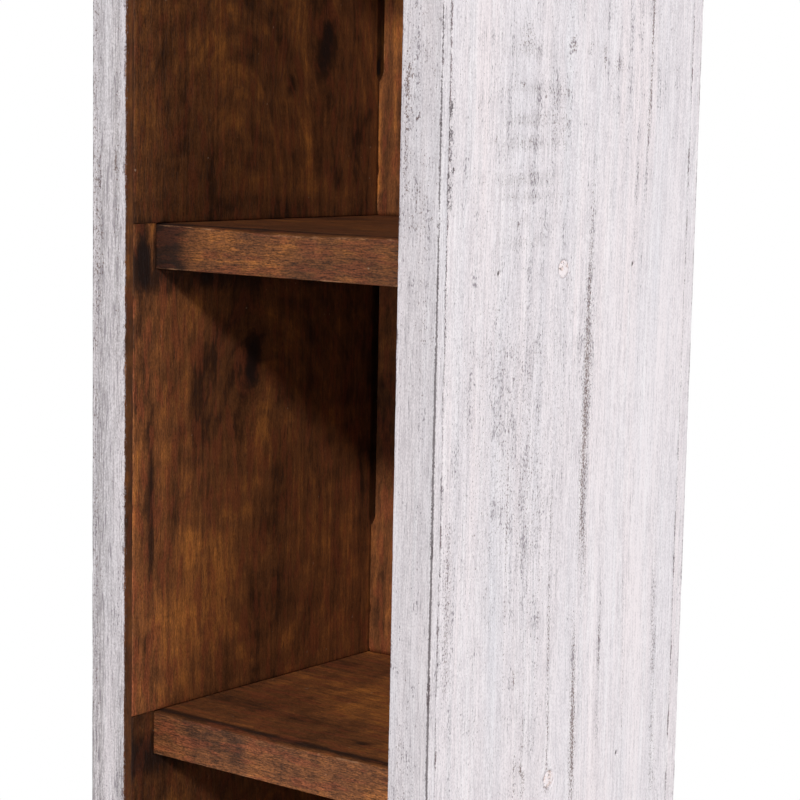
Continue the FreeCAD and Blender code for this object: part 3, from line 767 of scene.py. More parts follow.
class Recipe:
    """The nodes of one material or world."""

    def __init__(self, owner):
        self.owner = owner
        owner.use_nodes = True
        self.tree = owner.node_tree
        self.tree.nodes.clear()

    def node(self, kind, settings=None, values=None, output=0):
        """Add a node: settings first, then a number, colour or another node's output for each socket."""
        made = self.tree.nodes.new(kind)
        for setting, value in (settings or {}).items():
            setattr(made, setting, value)
        for socket, value in (values or {}).items():
            if isinstance(value, Amount):
                self.tree.links.new(value.socket, made.inputs[socket])
            else:
                made.inputs[socket].default_value = value
        return None if output is None else Amount(self, made.outputs[output])

    def math(self, operation, *values):
        """A Math node on numbers that vary."""
        return self.node("ShaderNodeMath", {"operation": operation}, dict(enumerate(values)))

    def place(self):
        """Where a point of the piece stands, in metres."""
        return self.node("ShaderNodeTexCoord", output="Object")

    def parts(self, vector):
        """The three numbers of a vector."""
        made = self.tree.nodes.new("ShaderNodeSeparateXYZ")
        self.tree.links.new(vector.socket, made.inputs[0])
        return [Amount(self, output) for output in made.outputs]

    def carried(self, name, output="Fac"):
        """A value that the piece's mesh carries."""
        return self.node("ShaderNodeAttribute", {"attribute_name": name}, output=output)

    def wood(self):
        """What every board carries: the place in its grain, its figure and the wear of its edges."""
        return self.carried("grain", "Vector"), self.carried("figure"), self.carried("wear")

    def fibres(self, grain, width, length, detail=2.0, roughness=0.5, shift=0.0):
        """Noise drawn out along the grain: about so many millimetres wide and long."""
        scale = (1 / (width * MM), 1 / (width * MM), 1 / (length * MM))
        stretched = self.node(
            "ShaderNodeVectorMath",
            {"operation": "MULTIPLY_ADD"},
            {0: grain, 1: scale, 2: (shift, 1.7 * shift, 2.3 * shift)},
        )
        values = {"Vector": stretched, "Scale": 1.0, "Detail": detail, "Roughness": roughness}
        return self.node("ShaderNodeTexNoise", {"noise_dimensions": "3D"}, values)

    def mix(self, first, second, share):
        """From the first colour to the second."""
        first, second = (c if isinstance(c, Amount) else (*c, 1.0) for c in (first, second))
        return self.node("ShaderNodeMix", {"data_type": "RGBA"}, {0: share, 6: first, 7: second}, output=2)

    def seen(self):
        """1 where the surface is seen, directly, mirrored or through something, and 0 for its light."""
        kinds = ("Is Camera Ray", "Is Glossy Ray", "Is Transmission Ray")
        camera, glossy, through = (self.node("ShaderNodeLightPath", output=kind) for kind in kinds)
        return camera.most(glossy).most(through)

    def tinted(self, colour, brightness):
        """A colour times a number that varies."""
        return self.node("ShaderNodeVectorMath", {"operation": "SCALE"}, {0: colour, "Scale": brightness})

    def finish(self, colour, roughness, height, relief, specular=0.5):
        """Join colour, roughness and relief in the surface shader."""
        normal = self.node("ShaderNodeBump", None, {"Height": height, "Distance": relief, "Strength": 1.0})
        values = {
            "Base Color": colour,
            "Roughness": roughness,
            "Normal": normal,
            "Specular IOR Level": specular,
        }
        return self.close("ShaderNodeBsdfPrincipled", values)

    def close(self, kind, values, end="ShaderNodeOutputMaterial"):
        """Add the last shader and the output, and hand back the material or world."""
        surface = self.node(kind, None, values)
        self.node(end, None, {"Surface": surface}, output=None)
        return self.owner


def stained_colours(recipe, colours):
    """Brown stained wood: colour, height and roughness."""
    grain, figure, wear = recipe.wood()
    lift, coarse, flame = recipe.parts(recipe.carried("look", "Vector"))
    band = recipe.fibres(grain, 8, 120, 3, 0.55)
    cloud = recipe.fibres(grain, 24, 40, 2, 0.5, 3.1)
    stripe = recipe.fibres(grain, 1.5, 60, 3, 0.6, 5.7)
    fibre = recipe.fibres(grain, 0.36, 4.5, 2, 0.6, 9.3)
    speck = recipe.fibres(grain, 0.42, 1.0, 1, 0.6, 11.3)
    pore = recipe.fibres(grain, 0.3, 3.6, 0, 0.5, 12.9)
    ripple = recipe.fibres(grain, 18, 7, 2, 0.5, 15.1)
    fleck = recipe.fibres(grain, 1.4, 1.9, 0, 0.5, 21.7)
    mottle = recipe.fibres(grain, 1.8, 7, 3, 0.65, 25.3)
    warmth = recipe.fibres(grain, 3.5, 14, 2, 0.6, 27.9)
    arches = recipe.fibres(recipe.carried("arches", "Vector"), 30, 4.5, 3, 0.6)

    # The marks darken or lighten the tone; some stand for knots and streaks, some are painted shade and
    # painted highlight
    tone = 0.45 + 0.6 * (band - 0.5) + 0.8 * (cloud - 0.5) + 0.4 * (stripe - 0.5) - 0.5 * figure
    tone = tone + 0.5 * (ripple - 0.5) + 0.6 * (mottle - 0.5) + flame * (arches - 0.5)
    colour = recipe.mix(colours.stain_deep, colours.stain_middle, tone.rise(0.0, 0.6))
    colour = recipe.mix(colour, colours.stain_light, tone.rise(0.45, 1.0))
    colour = recipe.mix(colour, colours.stain_warm, 0.5 * warmth.rise(0.5, 0.62))
    lines = coarse * (1.1 * (fibre - 0.5) + 1.2 * (speck - 0.5)) + 0.3 * (stripe - 0.5)
    # The brightness that the mesh carries holds painted light near a board's front and painted shade in slits
    # and under shelves, on some boards
    colour = recipe.tinted(colour, lift * (1 + lines))
    pores = (pore + 0.25 * (0.5 - band) + 0.08 * (coarse - 1)).rise(0.64, 0.76)
    colour = recipe.mix(colour, colours.stain_deep, 0.4 * pores)
    # Knots, and the painted shade that some marks put under each shelf and at the slit's end
    knots_and_painted_shade = (figure + 0.5 * (stripe - 0.5) + 0.4 * (fibre - 0.5)).rise(0.55, 1.15)
    colour = recipe.mix(colour, colours.knot, 0.9 * knots_and_painted_shade)
    rubbed = (wear + 0.8 * (fibre - 0.5) + 0.5 * (speck - 0.5)).rise(0.55, 1.1)
    colour = recipe.mix(colour, colours.stain_worn, 0.75 * rubbed)
    colour = recipe.mix(colour, colours.dust, 0.5 * fleck.rise(0.88, 0.91))
    height = coarse * (0.35 * fibre - 0.6 * pores) + 0.15 * stripe - 0.4 * knots_and_painted_shade
    roughness = 0.5 + 0.25 * (fibre - 0.5) + 0.12 * pores
    return colour, height, roughness


def stained_wood(colours):
    """The lining's finish."""
    recipe = Recipe(bpy.data.materials.new("brown_stained_wood"))
    colour, height, roughness = stained_colours(recipe, colours)
    return recipe.finish(colour, roughness, height, 0.12 * MM, 0.2)


def whitewashed_wood(colours):
    """The outer boards' finish: thin white paint over wood, with stain where the paint stops."""
    recipe = Recipe(bpy.data.materials.new("thin_whitewash"))
    grain, figure, wear = recipe.wood()
    paint = recipe.carried("paint")
    aged = recipe.carried("aged")
    place = recipe.place()
    side, depth, _ = recipe.parts(place)
    from_front_joint = abs(depth - FRONT_JOINT)

    cloud = recipe.fibres(grain, 14, 140, 2, 0.5)
    patch = recipe.fibres(grain, 4.5, 13, 2, 0.6, 3.7)
    band = recipe.fibres(grain, 3.5, 150, 3, 0.6, 5.3)
    stripe = recipe.fibres(grain, 0.7, 24, 2, 0.6, 7.1)
    fibre = recipe.fibres(grain, 0.4, 6, 1, 0.6, 10.3)
    speck = recipe.fibres(grain, 0.4, 0.8, 1, 0.6, 13.9)
    pore = recipe.fibres(grain, 0.45, 1.2, 1, 0.5, 17.3)
    brushed = recipe.fibres(grain, 1.6, 60, 3, 0.6, 19.9)
    dust = recipe.fibres(place, 0.55, 0.8, 2, 0.65, 23.1)

    thin = 0.65 * figure + 1.8 * (patch - 0.5) + 1.7 * (band - 0.5)
    tint = (0.4 + 1.6 * (cloud - 0.5) + 0.7 * (band - 0.5)).held()
    colour = recipe.mix(colours.paint_warm, colours.paint_cool, tint)
    colour = recipe.mix(colour, colours.paint_brushed, 0.35 * brushed.rise(0.5, 0.66))
    lines = 1.8 * (stripe - 0.5) + 1.5 * (fibre - 0.5) + 2.3 * (speck - 0.5)
    haze = (0.48 + 0.3 * aged + 0.35 * thin + lines).held()
    colour = recipe.mix(colour, colours.pore, 0.36 * haze)
    colour = recipe.mix(colour, colours.grime, aged * (0.3 + 1.0 * haze))
    dashes = (0.9 * aged + 3.0 * (fibre - 0.5)).rise(0.55, 1.0)
    colour = recipe.mix(colour, colours.pore, 0.6 * dashes)
    crowded = 0.3 * (fibre - 0.5) + 0.25 * (speck - 0.5) + 0.36 * thin
    pores = ((pore + crowded - 0.74) / 0.08).held()
    colour = recipe.mix(colour, colours.pore, 0.75 * pores)
    opened = (0.85 * figure + 0.6 * (fibre - 0.5) + 4.0 * (dust - 0.5)).rise(0.66, 0.9)
    by_joint = ((3.5 * MM - from_front_joint) / (1.0 * MM)).held()
    uncovered = recipe.mix(colours.bare, colours.dirt, by_joint)
    colour = recipe.mix(colour, uncovered, 0.75 * opened)
    rubbed = (wear + 0.5 * (fibre - 0.5) + 1.2 * (dust - 0.5)).rise(0.5, 0.9)
    colour = recipe.mix(colour, colours.pore, 0.75 * rubbed)
    colour = recipe.mix(colour, colours.bare, 0.5 * rubbed * rubbed)

    # Dirt in the upright joints between the side boards and the boards on their front and back edges
    ragged = 0.35 * MM + 3.5 * MM * (dust - 0.5) + 2.5 * MM * (patch - 0.5)
    front_joint = ((ragged - from_front_joint) / (0.5 * MM)).held() * recipe.carried("seam")
    back_joint = ((ragged * 0.6 - abs(depth - BACK_JOINT)) / (0.5 * MM)).held()
    colour = recipe.mix(colour, colours.dirt, 0.85 * front_joint.most(0.5 * back_joint))
    # and a thin dark line along the corners, by the distance from the corner
    beside = abs(side) - HIGH[X]
    behind = HIGH[Y] - abs(depth)
    corner = (beside * beside + behind * behind) ** 0.5
    reach = recipe.carried("corner") * MM + 0.7 * MM * (dust - 0.5) + 0.4 * MM * (stripe - 0.5)
    corner_line = ((reach - corner) / (0.15 * MM)).held()
    colour = recipe.mix(colour, colours.dirt, 0.8 * corner_line)

    brown, brown_height, _ = stained_colours(recipe, colours)
    covered = (paint + 0.5 * (speck - 0.5) + 0.5 * (fibre - 0.5)).rise(0.4, 0.6)
    colour = recipe.mix(brown, colour, covered)
    height = 0.5 * fibre + 0.4 * stripe - 0.8 * pores - 0.5 * rubbed + 0.25 * speck
    height = height + (brown_height - height) * (1 - covered)
    roughness = 0.62 + 0.3 * (fibre - 0.5)
    return recipe.finish(colour, roughness, height, 0.16 * MM, 0.35)


def plug_wood(colours):
    """End-grain plugs with a wipe of paint."""
    recipe = Recipe(bpy.data.materials.new("plug_end_grain"))
    place = recipe.place()
    ring = recipe.fibres(place, 1.9, 1.9, 3, 0.6)
    speck = recipe.fibres(place, 0.6, 0.6, 2, 0.6, 4.1)
    colour = recipe.mix(colours.plug, colours.paint_warm, ring.rise(0.38, 0.52))
    colour = recipe.mix(colour, colours.dirt, 0.85 * (speck + 0.6 * (0.5 - ring)).rise(0.6, 0.68))
    return recipe.finish(colour, 0.6 + 0.2 * (speck - 0.5), ring + speck, 0.15 * MM, 0.35)


def dull_steel(colours):
    """Brads and screws, dulled where paint has run over them."""
    recipe = Recipe(bpy.data.materials.new("dull_steel"))
    film = recipe.fibres(recipe.place(), 0.8, 0.8, 3, 0.6)
    stained = film.rise(0.4, 0.7)
    values = {
        "Base Color": recipe.mix(colours.steel, colours.steel_stained, stained),
        "Roughness": 0.35 + 0.3 * film,
        "Metallic": 1.0 - 0.5 * stained,
    }
    return recipe.close("ShaderNodeBsdfPrincipled", values)


FINISHES = {}


def finish_of(maker):
    """A finish, made the first time that a piece asks for it."""
    if maker not in FINISHES:
        FINISHES[maker] = maker(bpy.context.scene.tower_colours)
    return FINISHES[maker]


# Boards


# Mesh spacing on the narrow sides of the side boards, and on faces that lie against another board
THIN_SIDE_STEP = 6 * MM
HIDDEN_STEP = 30 * MM


def worn_rounds(sections, radii, nick, seed, most=np.inf):
    """Corner radii along a board: each wanders about its own size, and chips widen it, up to the most."""
    along = sections[:, None] / MM
    corner = np.arange(4)[None, :] * 31.0 + 5
    wander = 1 + 0.15 * uneven(along / 14, corner, seed) + 0.12 * uneven(along / 4, corner, seed + 1)
    chip = uneven(along / 3.1, corner, seed + 2) + 0.5 * uneven(along / 1.3, corner, seed + 3) - 0.8
    return np.minimum(np.array(radii)[None, :] * wander + nick * np.clip(2 * chip, 0, 1), most)


def four_sides(box, axes, steps, margin, fine=((), (), (), ())):
    """Mesh lines on the four sides, clear of the corners, in the order in which the outline runs."""
    low, high = box
    sides = []
    for side in range(4):
        axis = axes[side % 2]
        places = steps_between(low[axis] + margin, high[axis] - margin, steps[side], fine[side])
        sides.append(places if side < 2 else places[::-1])
    return sides


def rough_faces(skin, depth, seed):
    """Sink a skin unevenly, as hand sanding leaves a board: broad hollows, and low ridges along the grain."""
    across, thick, along = (skin.points[:, axis] / MM for axis in skin.axes)
    around = across + thick
    broad = 0.35 * uneven(around / 30, along / 70, seed)
    hollow = 0.5 + broad + 0.15 * uneven(around / 6, along / 45, seed + 1)
    skin.sink(depth * np.clip(hollow, 0, 1) * (1 - 0.6 * skin.edge))


def outer_side(node, sign, seed):
    """A whitewashed side board that faces along X by its sign, with its plug seats and brad holes."""
    sizes = bpy.context.scene.tower_sizes
    box = corners(node)
    rail_depth, rail_height = RAIL_BRAD_BOX[0][[Y, Z]] + BRAD_RADIUS
    depth_places = ring_places([*BRAD_DEPTHS, rail_depth], BRAD_HOLE) + ring_places([PLUG_DEPTH], PLUG_RADIUS)
    height_places = ring_places([*FIXING_HEIGHTS, rail_height], BRAD_HOLE)
    height_places += ring_places(FIXING_HEIGHTS, PLUG_RADIUS)
    end_round = 0.3 * MM
    grain_step, width_step = sizes.grain_step, sizes.width_step
    if node in MEASURED_MARKS:
        # The mesh lines lie closer over the marked stretch, and further apart above and below it
        grain_step, width_step = 2 * sizes.marked_grain_step, sizes.marked_width_step
        stretch = np.arange(*MARKED_STRETCH, sizes.marked_grain_step)
        from_rings = np.abs(stretch[:, None] - np.array(height_places)[None, :]).min(1)
        height_places += list(stretch[from_rings > 0.3 * sizes.marked_grain_step])
    sections = board_sections(box[0][Z], box[1][Z], grain_step, end_round, height_places)
    # Sides in order: front, right, back, left; the one that shows has the close lines
    outer, inner = (1, 3) if sign > 0 else (3, 1)
    steps = [THIN_SIDE_STEP] * 4
    steps[outer], steps[inner] = width_step, HIDDEN_STEP
    fine = [()] * 4
    fine[outer] = depth_places
    lines = four_sides(box, (X, Y, Z), steps, 1.5 * MM, fine)
    rounds = worn_rounds(sections, [sizes.seam_arris] * 4, 0.8 * sizes.nick, seed)
    skin = carried_board(box, (X, Y, Z), lines, sections, rounds, end_round)
    # The grain runs up the board, which is wide in depth and thin in width
    skin.axes = (Y, X, Z)
    rough_faces(skin, sizes.hollow, seed + 10)
    brads = [(place, height) for height in FIXING_HEIGHTS for place in BRAD_DEPTHS]
    skin.bore(X, sign, [*brads, (rail_depth, rail_height)], BRAD_HOLE, BRAD_HOLE_DEPTH)
    skin.bore(X, sign, [(PLUG_DEPTH, height) for height in FIXING_HEIGHTS], PLUG_RADIUS, PLUG_SEAT_DEPTH)
    marks = list(MEASURED_MARKS.get(node, []))
    for mark_seed, span in SIDE_DRAWS[node]:
        marks += random_marks(mark_seed, span, True)
    add_board(node, skin, whitewashed_wood, marks, seed + 30)


def facing_strip(node, across, along, seed, inward):
    """A whitewashed strip over the front edges, its worn arrises chipped, stained where it faces inwards.

    Paint is the distance from the inner face over 1.5 mm, plus a half, less half the depth over 2.6 mm."""
    sizes = bpy.context.scene.tower_sizes
    box = corners(node)
    axes = (across, Y, along)
    sections = board_sections(box[0][along], box[1][along], sizes.edge_step, sizes.outer_arris)
    # Sides in order: front, high, back, low; corners: front high, back high, back low, front low
    steps = [1.1 * MM, 0.8 * MM, 3 * MM, 0.8 * MM]
    lines = four_sides(box, axes, steps, 1.15 * MM)
    radii = [sizes.outer_arris, sizes.seam_arris, sizes.seam_arris, sizes.outer_arris]
    rounds = worn_rounds(sections, radii, 0.35 * sizes.nick, seed, 1.1 * MM)
    skin = carried_board(box, axes, lines, sections, rounds, sizes.outer_arris)
    rough_faces(skin, 0.7 * sizes.hollow, seed + 10)
    inner_face = box[1][across] if inward > 0 else box[0][across]
    from_inner_face = (inner_face - skin.points[:, across]) * inward / (1.5 * MM)
    from_front = 0.5 - 0.5 * (skin.points[:, Y] - box[0][Y]) / (2.6 * MM)
    painted = np.minimum(1.0, from_inner_face + from_front)
    span = ((0, 0), (WIDTH, HEIGHT)) if along == Z else ((HEIGHT - 30, 0), (HEIGHT, WIDTH))
    marks = random_marks(seed + 20, span, True) + MEASURED_MARKS.get(node, [])
    offset = (skin.points[:, across] - box[0][across]) / MM
    aged = AGED[node] * (1 + 0.9 * uneven(offset / 2.3, skin.points[:, along] / (90 * MM), seed + 5))
    add_board(node, skin, whitewashed_wood, marks, seed + 30, (0.8, 0.8, 0.4), painted, aged, rubbed=0.8)


def outer_back():
    """The whitewashed back board, with its brad holes."""
    sizes = bpy.context.scene.tower_sizes
    box = corners("back_panel")
    brads = corners("back_panel_brads")
    columns = outermost(brads, X)
    middles = [brads[0][Z] + BRAD_RADIUS + level * PITCH for level in range(COMPARTMENTS)]
    arris = sizes.outer_arris
    holes = ring_places([*middles, *FIXING_HEIGHTS], BRAD_HOLE)
    sections = board_sections(box[0][Z], box[1][Z], sizes.grain_step, arris, holes)
    # Sides in order: inner, right, outer, left; corners: inner right, outer right, outer left, inner left
    steps = [HIDDEN_STEP, sizes.edge_step, sizes.width_step, sizes.edge_step]
    fine = [(), (), ring_places([*columns, 0.0], BRAD_HOLE), ()]
    lines = four_sides(box, (X, Y, Z), steps, 1.4 * MM, fine)
    radii = [sizes.seam_arris, arris, arris, sizes.seam_arris]
    rounds = worn_rounds(sections, radii, 0.7 * sizes.nick, 51, 1.35 * MM)
    skin = carried_board(box, (X, Y, Z), lines, sections, rounds, arris)
    rough_faces(skin, sizes.hollow, 52)
    places = [(column, height) for height in middles for column in columns]
    places += [(0.0, height) for height in FIXING_HEIGHTS]
    skin.bore(Y, 1, places, BRAD_HOLE, BRAD_HOLE_DEPTH)
    add_board("back_panel", skin, whitewashed_wood, random_marks(53, ((0, 0), (WIDTH, HEIGHT)), True), 54)


def outer_top():
    """The whitewashed top board, with its four brad holes; its grain runs from side to side."""
    sizes = bpy.context.scene.tower_sizes
    box = corners("top_panel")
    brads = corners("top_panel_brads")
    columns, rows = (outermost(brads, axis) for axis in (X, Y))
    column_places = ring_places(columns, BRAD_HOLE)
    sections = board_sections(box[0][X], box[1][X], 1.5 * MM, sizes.outer_arris, column_places)
    # Sides in order: under, back, over, front
    steps = [20 * MM, sizes.edge_step, sizes.width_step, sizes.edge_step]
    fine = [(), (), ring_places(rows, BRAD_HOLE), ()]
    lines = four_sides(box, (Y, Z, X), steps, 1.4 * MM, fine)
    rounds = worn_rounds(sections, [sizes.seam_arris] * 4, 0.5 * sizes.nick, 61, 1.35 * MM)
    skin = carried_board(box, (Y, Z, X), lines, sections, rounds, sizes.outer_arris)
    rough_faces(skin, sizes.hollow, 62)
    skin.bore(Z, 1, [(column, row) for column in columns for row in rows], BRAD_HOLE, BRAD_HOLE_DEPTH)
    add_board("top_panel", skin, whitewashed_wood, random_marks(63, ((0, 0), (DEPTH, WIDTH)), True), 64)


def lining_board(node, seed):
    """A brown lining board of one side, with the notch that takes the shelf's end."""
    sizes = bpy.context.scene.tower_sizes
    box = corners(node)
    side = 1 if node.startswith("left") else -1
    topmost = node.endswith(str(COMPARTMENTS))
    corner = (SHELF_BOX[0][Y], box[1][Z] if topmost else box[1][Z] - SHELF_THICKNESS)
    arris = sizes.lining_arris
    near_edge = np.array((0.05, 0.3, 1.0)) * arris
    depth_fine = [*(box[0][Y] + near_edge), *(box[1][Y] - near_edge)]
    depth_fine += [corner[0], *(LOW[Y] + np.array(GAP) * MM)]
    height_fine = [*(box[0][Z] + near_edge), *(box[1][Z] - near_edge)]
    if not topmost:
        depth_fine += list(corner[0] - near_edge)
        height_fine += [corner[1], *(corner[1] - near_edge)]
    across_lines, along_lines = (
        even_and_fine(box[0][axis], box[1][axis], sizes.width_step, fine, 0.35, 8)
        for axis, fine in ((Y, depth_fine), (Z, height_fine))
    )
    skin = notched_board(box, side, across_lines, along_lines, corner, arris)
    behind, above = ((skin.points[:, axis] - LOW[axis]) / MM for axis in (Y, Z))
    facing = skin.outward[:, X] * side > 0
    skin.sink(np.where(facing, 0.12 * MM * (0.5 + 0.5 * uneven(behind / 28, above / 60, seed)), 0.0))

    # Marks of its own, and a band of painted shade under the shelf above
    foot = (box[0][Z] - LOW[Z]) / MM
    marks = list(MEASURED_MARKS.get(node, []))
    if node != WHOLLY_MEASURED:
        marks += random_marks(seed + 1, ((0, foot), (DEPTH, foot + round(PITCH / MM))), False)
    if not topmost:
        clear_height = round((PITCH - SHELF_THICKNESS) / MM)
        marks.append(Mark(DEPTH / 2, foot + clear_height, 200, 8, 0.85))

    # Painted light and shade: a measured board is drawn lighter towards the front, and the boards darker in
    # the slit behind the back boards and under the shelf above
    slit = ease((above - foot - 50) / 1.6)
    in_slit = ease((behind - GAP[0]) / (GAP[1] - GAP[0]))
    slit_shade = slit * in_slit + 0.6 * (1 - slit) * ease((behind - 130.6) / 0.5)
    front = (BRIGHTNESS_AND_PAINTED_LIGHT.get(node, 1.0) - 1) * np.exp(-behind / 40)
    lift = (0.86 + 0.17 * ease((behind - 75) / 40) + front) * (1 - 0.6 * slit_shade)
    lift *= 1 - 0.4 * np.exp(-(box[1][Z] - skin.points[:, Z]) / (18 * MM))
    coarse = 0.8 + 0.8 * np.exp(-behind / 30)
    look = np.stack([lift, coarse, np.full_like(lift, 0.8)], axis=-1)
    add_board(node, skin, stained_wood, marks, seed + 2, look, rubbed=0.45)


# Mesh lines behind a shelf's front edge, and its brightness, coarseness and flame on the edges and on top
NOSE_LINES = np.array((0.9, 1.2, 1.6, 2.1, 2.7, 3.4, 4.2, 5.2, 6.5)) * MM
SHELF_EDGE_LOOK = np.array((0.9, 1.8, 0.2))
SHELF_TOP_LOOK = np.array((0.73, 1.2, 0.3))


def shelf_board(node, seed):
    """A brown shelf with a rubbed, rounded nose; its grain runs from side to side."""
    sizes = bpy.context.scene.tower_sizes
    box = corners(node)
    sections = steps_between(box[0][X], box[1][X], sizes.edge_step)
    # Sides in order: under, back, over, front; corners: under back, over back, over front, under front
    steps = [4 * MM, 6 * MM, sizes.width_step, 0.9 * MM]
    fine = [(), (), box[0][Y] + NOSE_LINES, ()]
    lines = four_sides(box, (Y, Z, X), steps, 0.8 * MM, fine)
    radii = [sizes.lining_arris, sizes.lining_arris, sizes.shelf_nose, 0.8 * sizes.shelf_nose]
    rounds = worn_rounds(sections, radii, 0.3 * sizes.nick, seed, 0.75 * MM)
    skin = carried_board(box, (Y, Z, X), lines, sections, rounds, 0.2 * MM, arc=7)
    rough_faces(skin, 0.12 * MM, seed + 1)
    # Hands have worn the front edge down, most in the middle: a bell along it times a fall behind the edge
    x, y, z = skin.points.T
    worn = 0.3 + 0.7 * np.exp(-((x / (30 * MM)) ** 2))
    above = np.clip((z - box[0][Z]) / (box[1][Z] - box[0][Z]), 0, 1)
    skin.points[:, Z] -= 1.6 * MM * worn * above**4 * np.exp(-(y - box[0][Y]) / (2.2 * MM))
    # One dark line runs the whole length of the shelf, just behind the nose
    marks = random_marks(seed + 2, ((0, 0), (DEPTH, WIDTH)), False)
    marks += [Mark(18.5, WIDTH / 2, 1.7, 300, 1.0)] + MEASURED_MARKS.get(node, [])
    up = np.clip(skin.outward[:, Z], 0, 1)[:, None]
    look = SHELF_EDGE_LOOK * (1 - up) + SHELF_TOP_LOOK * up
    look[:, 0] *= BRIGHTNESS_AND_PAINTED_LIGHT.get(node, 1.15)
    foot = (box[0][Z] - LOW[Z]) / MM
    add_board(node, skin, stained_wood, marks, seed + 3 + int(foot), look, rubbed=0.85)


def plain_board(node, axes, steps, seed, radii, insets=None):
    """A brown board with eased edges: ceiling, plinth rail or back board."""
    sizes = bpy.context.scene.tower_sizes
    box = corners(node)
    across, _, along = axes
    sections = steps_between(box[0][along], box[1][along], sizes.width_step)
    lines = four_sides(box, axes, steps, 2.4 * MM)
    rounds = worn_rounds(sections, radii, 0.2 * sizes.nick, seed, 2.0 * MM)
    skin = carried_board(box, axes, lines, sections, rounds, 0.3 * MM, insets and insets(sections))
    rough_faces(skin, 0.1 * MM, seed + 1)
    span = [[(corner[axis] - LOW[axis]) / MM for axis in (across, along)] for corner in box]
    marks = random_marks(seed + 2, span, False) + MEASURED_MARKS.get(node, [])
    look = (1.55, 0.9, 0.8) if node.startswith("back_board") else (1.0, 1.0, 0.5)
    add_board(node, skin, stained_wood, marks, seed + 3, look, rubbed=0.85)


def back_board_insets(sections):
    """A back board meets the left wall up to a third of its height, but for a notch, with a slit above."""
    height = sections - sections[0]
    slit = 1.8 * MM * ease((height - 50 * MM) / (1.0 * MM))
    notch = 0.7 * MM * np.exp(-(((height - 17 * MM) / (1.2 * MM)) ** 2))
    insets = np.zeros((len(sections), 4))
    insets[:, 0] = -0.6 * MM
    insets[:, 3] = slit + notch - 0.45 * MM
    return insets


def disc_faces(first, rings, around):
    """Faces of rings of points round a middle point, which is the first: quads, then a fan of triangles."""
    grid = first + 1 + np.arange(rings * around).reshape(rings, around)
    after = np.roll(grid, -1, axis=1)
    quads = np.stack([grid[:-1], grid[1:], after[1:], after[:-1]], axis=-1).reshape(-1, 4)
    fan = np.stack([np.full(around, first), grid[0], after[0]], axis=-1)
    return quads.tolist() + fan.tolist(), grid[-1].tolist()


# A plug's rings as shares of its radius, and how far each lies under its face
PLUG_RINGS = np.array((0.0, 0.35, 0.65, 0.85, 0.95, 1.0, 1.0))[:, None]
PLUG_FALLS = np.array((0.05, 0.06, 0.09, 0.14, 0.24, 0.5, 0.0))[:, None] * MM


def plug_faces(node, sign):
    """Plugs over the screws of the side that faces along X by its sign. Each is a low dome turned about its
    axis, unevenly dented, its rim a little ragged, and its last ring on the plug's far end."""
    box = corners(node)
    face, back = (box[1][X], box[0][X]) if sign > 0 else (box[0][X], box[1][X])
    turns = np.linspace(0, 2 * np.pi, 48, endpoint=False)
    cosine, sine = np.cos(turns), np.sin(turns)
    points, faces = [], []
    for number, height in enumerate(FIXING_HEIGHTS):
        ragged = 0.965 + 0.02 * uneven(cosine * 2 + 7, sine * 2 + 7, 71 + number)
        radius = PLUG_RADIUS * PLUG_RINGS * np.where(PLUG_RINGS > 0.9, ragged, 1)
        dent = 0.12 * MM * uneven(cosine * PLUG_RINGS * 2 + 9, sine * PLUG_RINGS * 2 + 9, 81 + number)
        x = face - sign * (PLUG_FALLS + np.maximum(dent, 0))
        x[-1] = back
        rings = np.stack([x, PLUG_DEPTH + radius * cosine, height + radius * sine], axis=-1)
        made, rim = disc_faces(sum(len(part) for part in points), len(rings) - 1, len(turns))
        made.append(rim[::-1])
        points.append(np.concatenate([rings[:1].mean(1), rings[1:].reshape(-1, 3)]))
        faces += made if sign > 0 else [face_points[::-1] for face_points in made]
    mesh = bpy.data.meshes.new(f"worn_{node}")
    mesh.from_pydata(np.concatenate(points).tolist(), [], faces)
    mesh.polygons.foreach_set("use_smooth", np.ones(len(mesh.polygons), bool))
    stand_for(node, mesh, plug_wood)


# Studio


# Each lamp's place, what it faces, and its width, in metres
LAMPS = {
    "key": ((1.72, -3.70, 3.14), (0, 0, 0.5), 0.5),
    "side": ((2.0, 0.2, 1.1), (0, 0, 0.5), 1.4),
    "back": ((-3.2, 3.2, 2.2), (0, 0, 0.45), 2.4),
}
WHITE = (1.0, 1.0, 1.0, 1.0)
PAPER = (0.88, 0.88, 0.88, 1.0)
SKY_COLOUR = (0.94, 0.98, 1.04, 1.0)
FLOOR_RADII = np.array((0.2, 0.5, 1.0, 2.0, 4.0, 8.0))


def area_lamp(name, place, target, size, power):
    """A square soft lamp that faces a target."""
    data = bpy.data.lights.new(name, "AREA")
    data.size = size
    data.energy = power
    lamp = bpy.data.objects.new(name, data)
    lamp.location = place
    lamp.rotation_euler = (Vector(target) - Vector(place)).to_track_quat("-Z", "Y").to_euler()
    bpy.context.scene.collection.objects.link(lamp)


def studio_camera(studio):
    """The camera at the photograph's viewing angle."""
    data = bpy.data.cameras.new("camera")
    data.lens = studio.lens
    data.sensor_width = 36.0
    data.shift_x, data.shift_y = studio.shift
    data.clip_start = 0.01
    camera = bpy.data.objects.new("camera", data)
    turn = Matrix.Rotation(studio.turn, 4, "Z")
    tilt = Matrix.Rotation(math.pi / 2 + studio.tilt, 4, "X")
    roll = Matrix.Rotation(studio.roll, 4, "Z")
    camera.matrix_world = Matrix.Translation(studio.eye) @ turn @ tilt @ roll
    bpy.context.scene.collection.objects.link(camera)
    bpy.context.scene.camera = camera


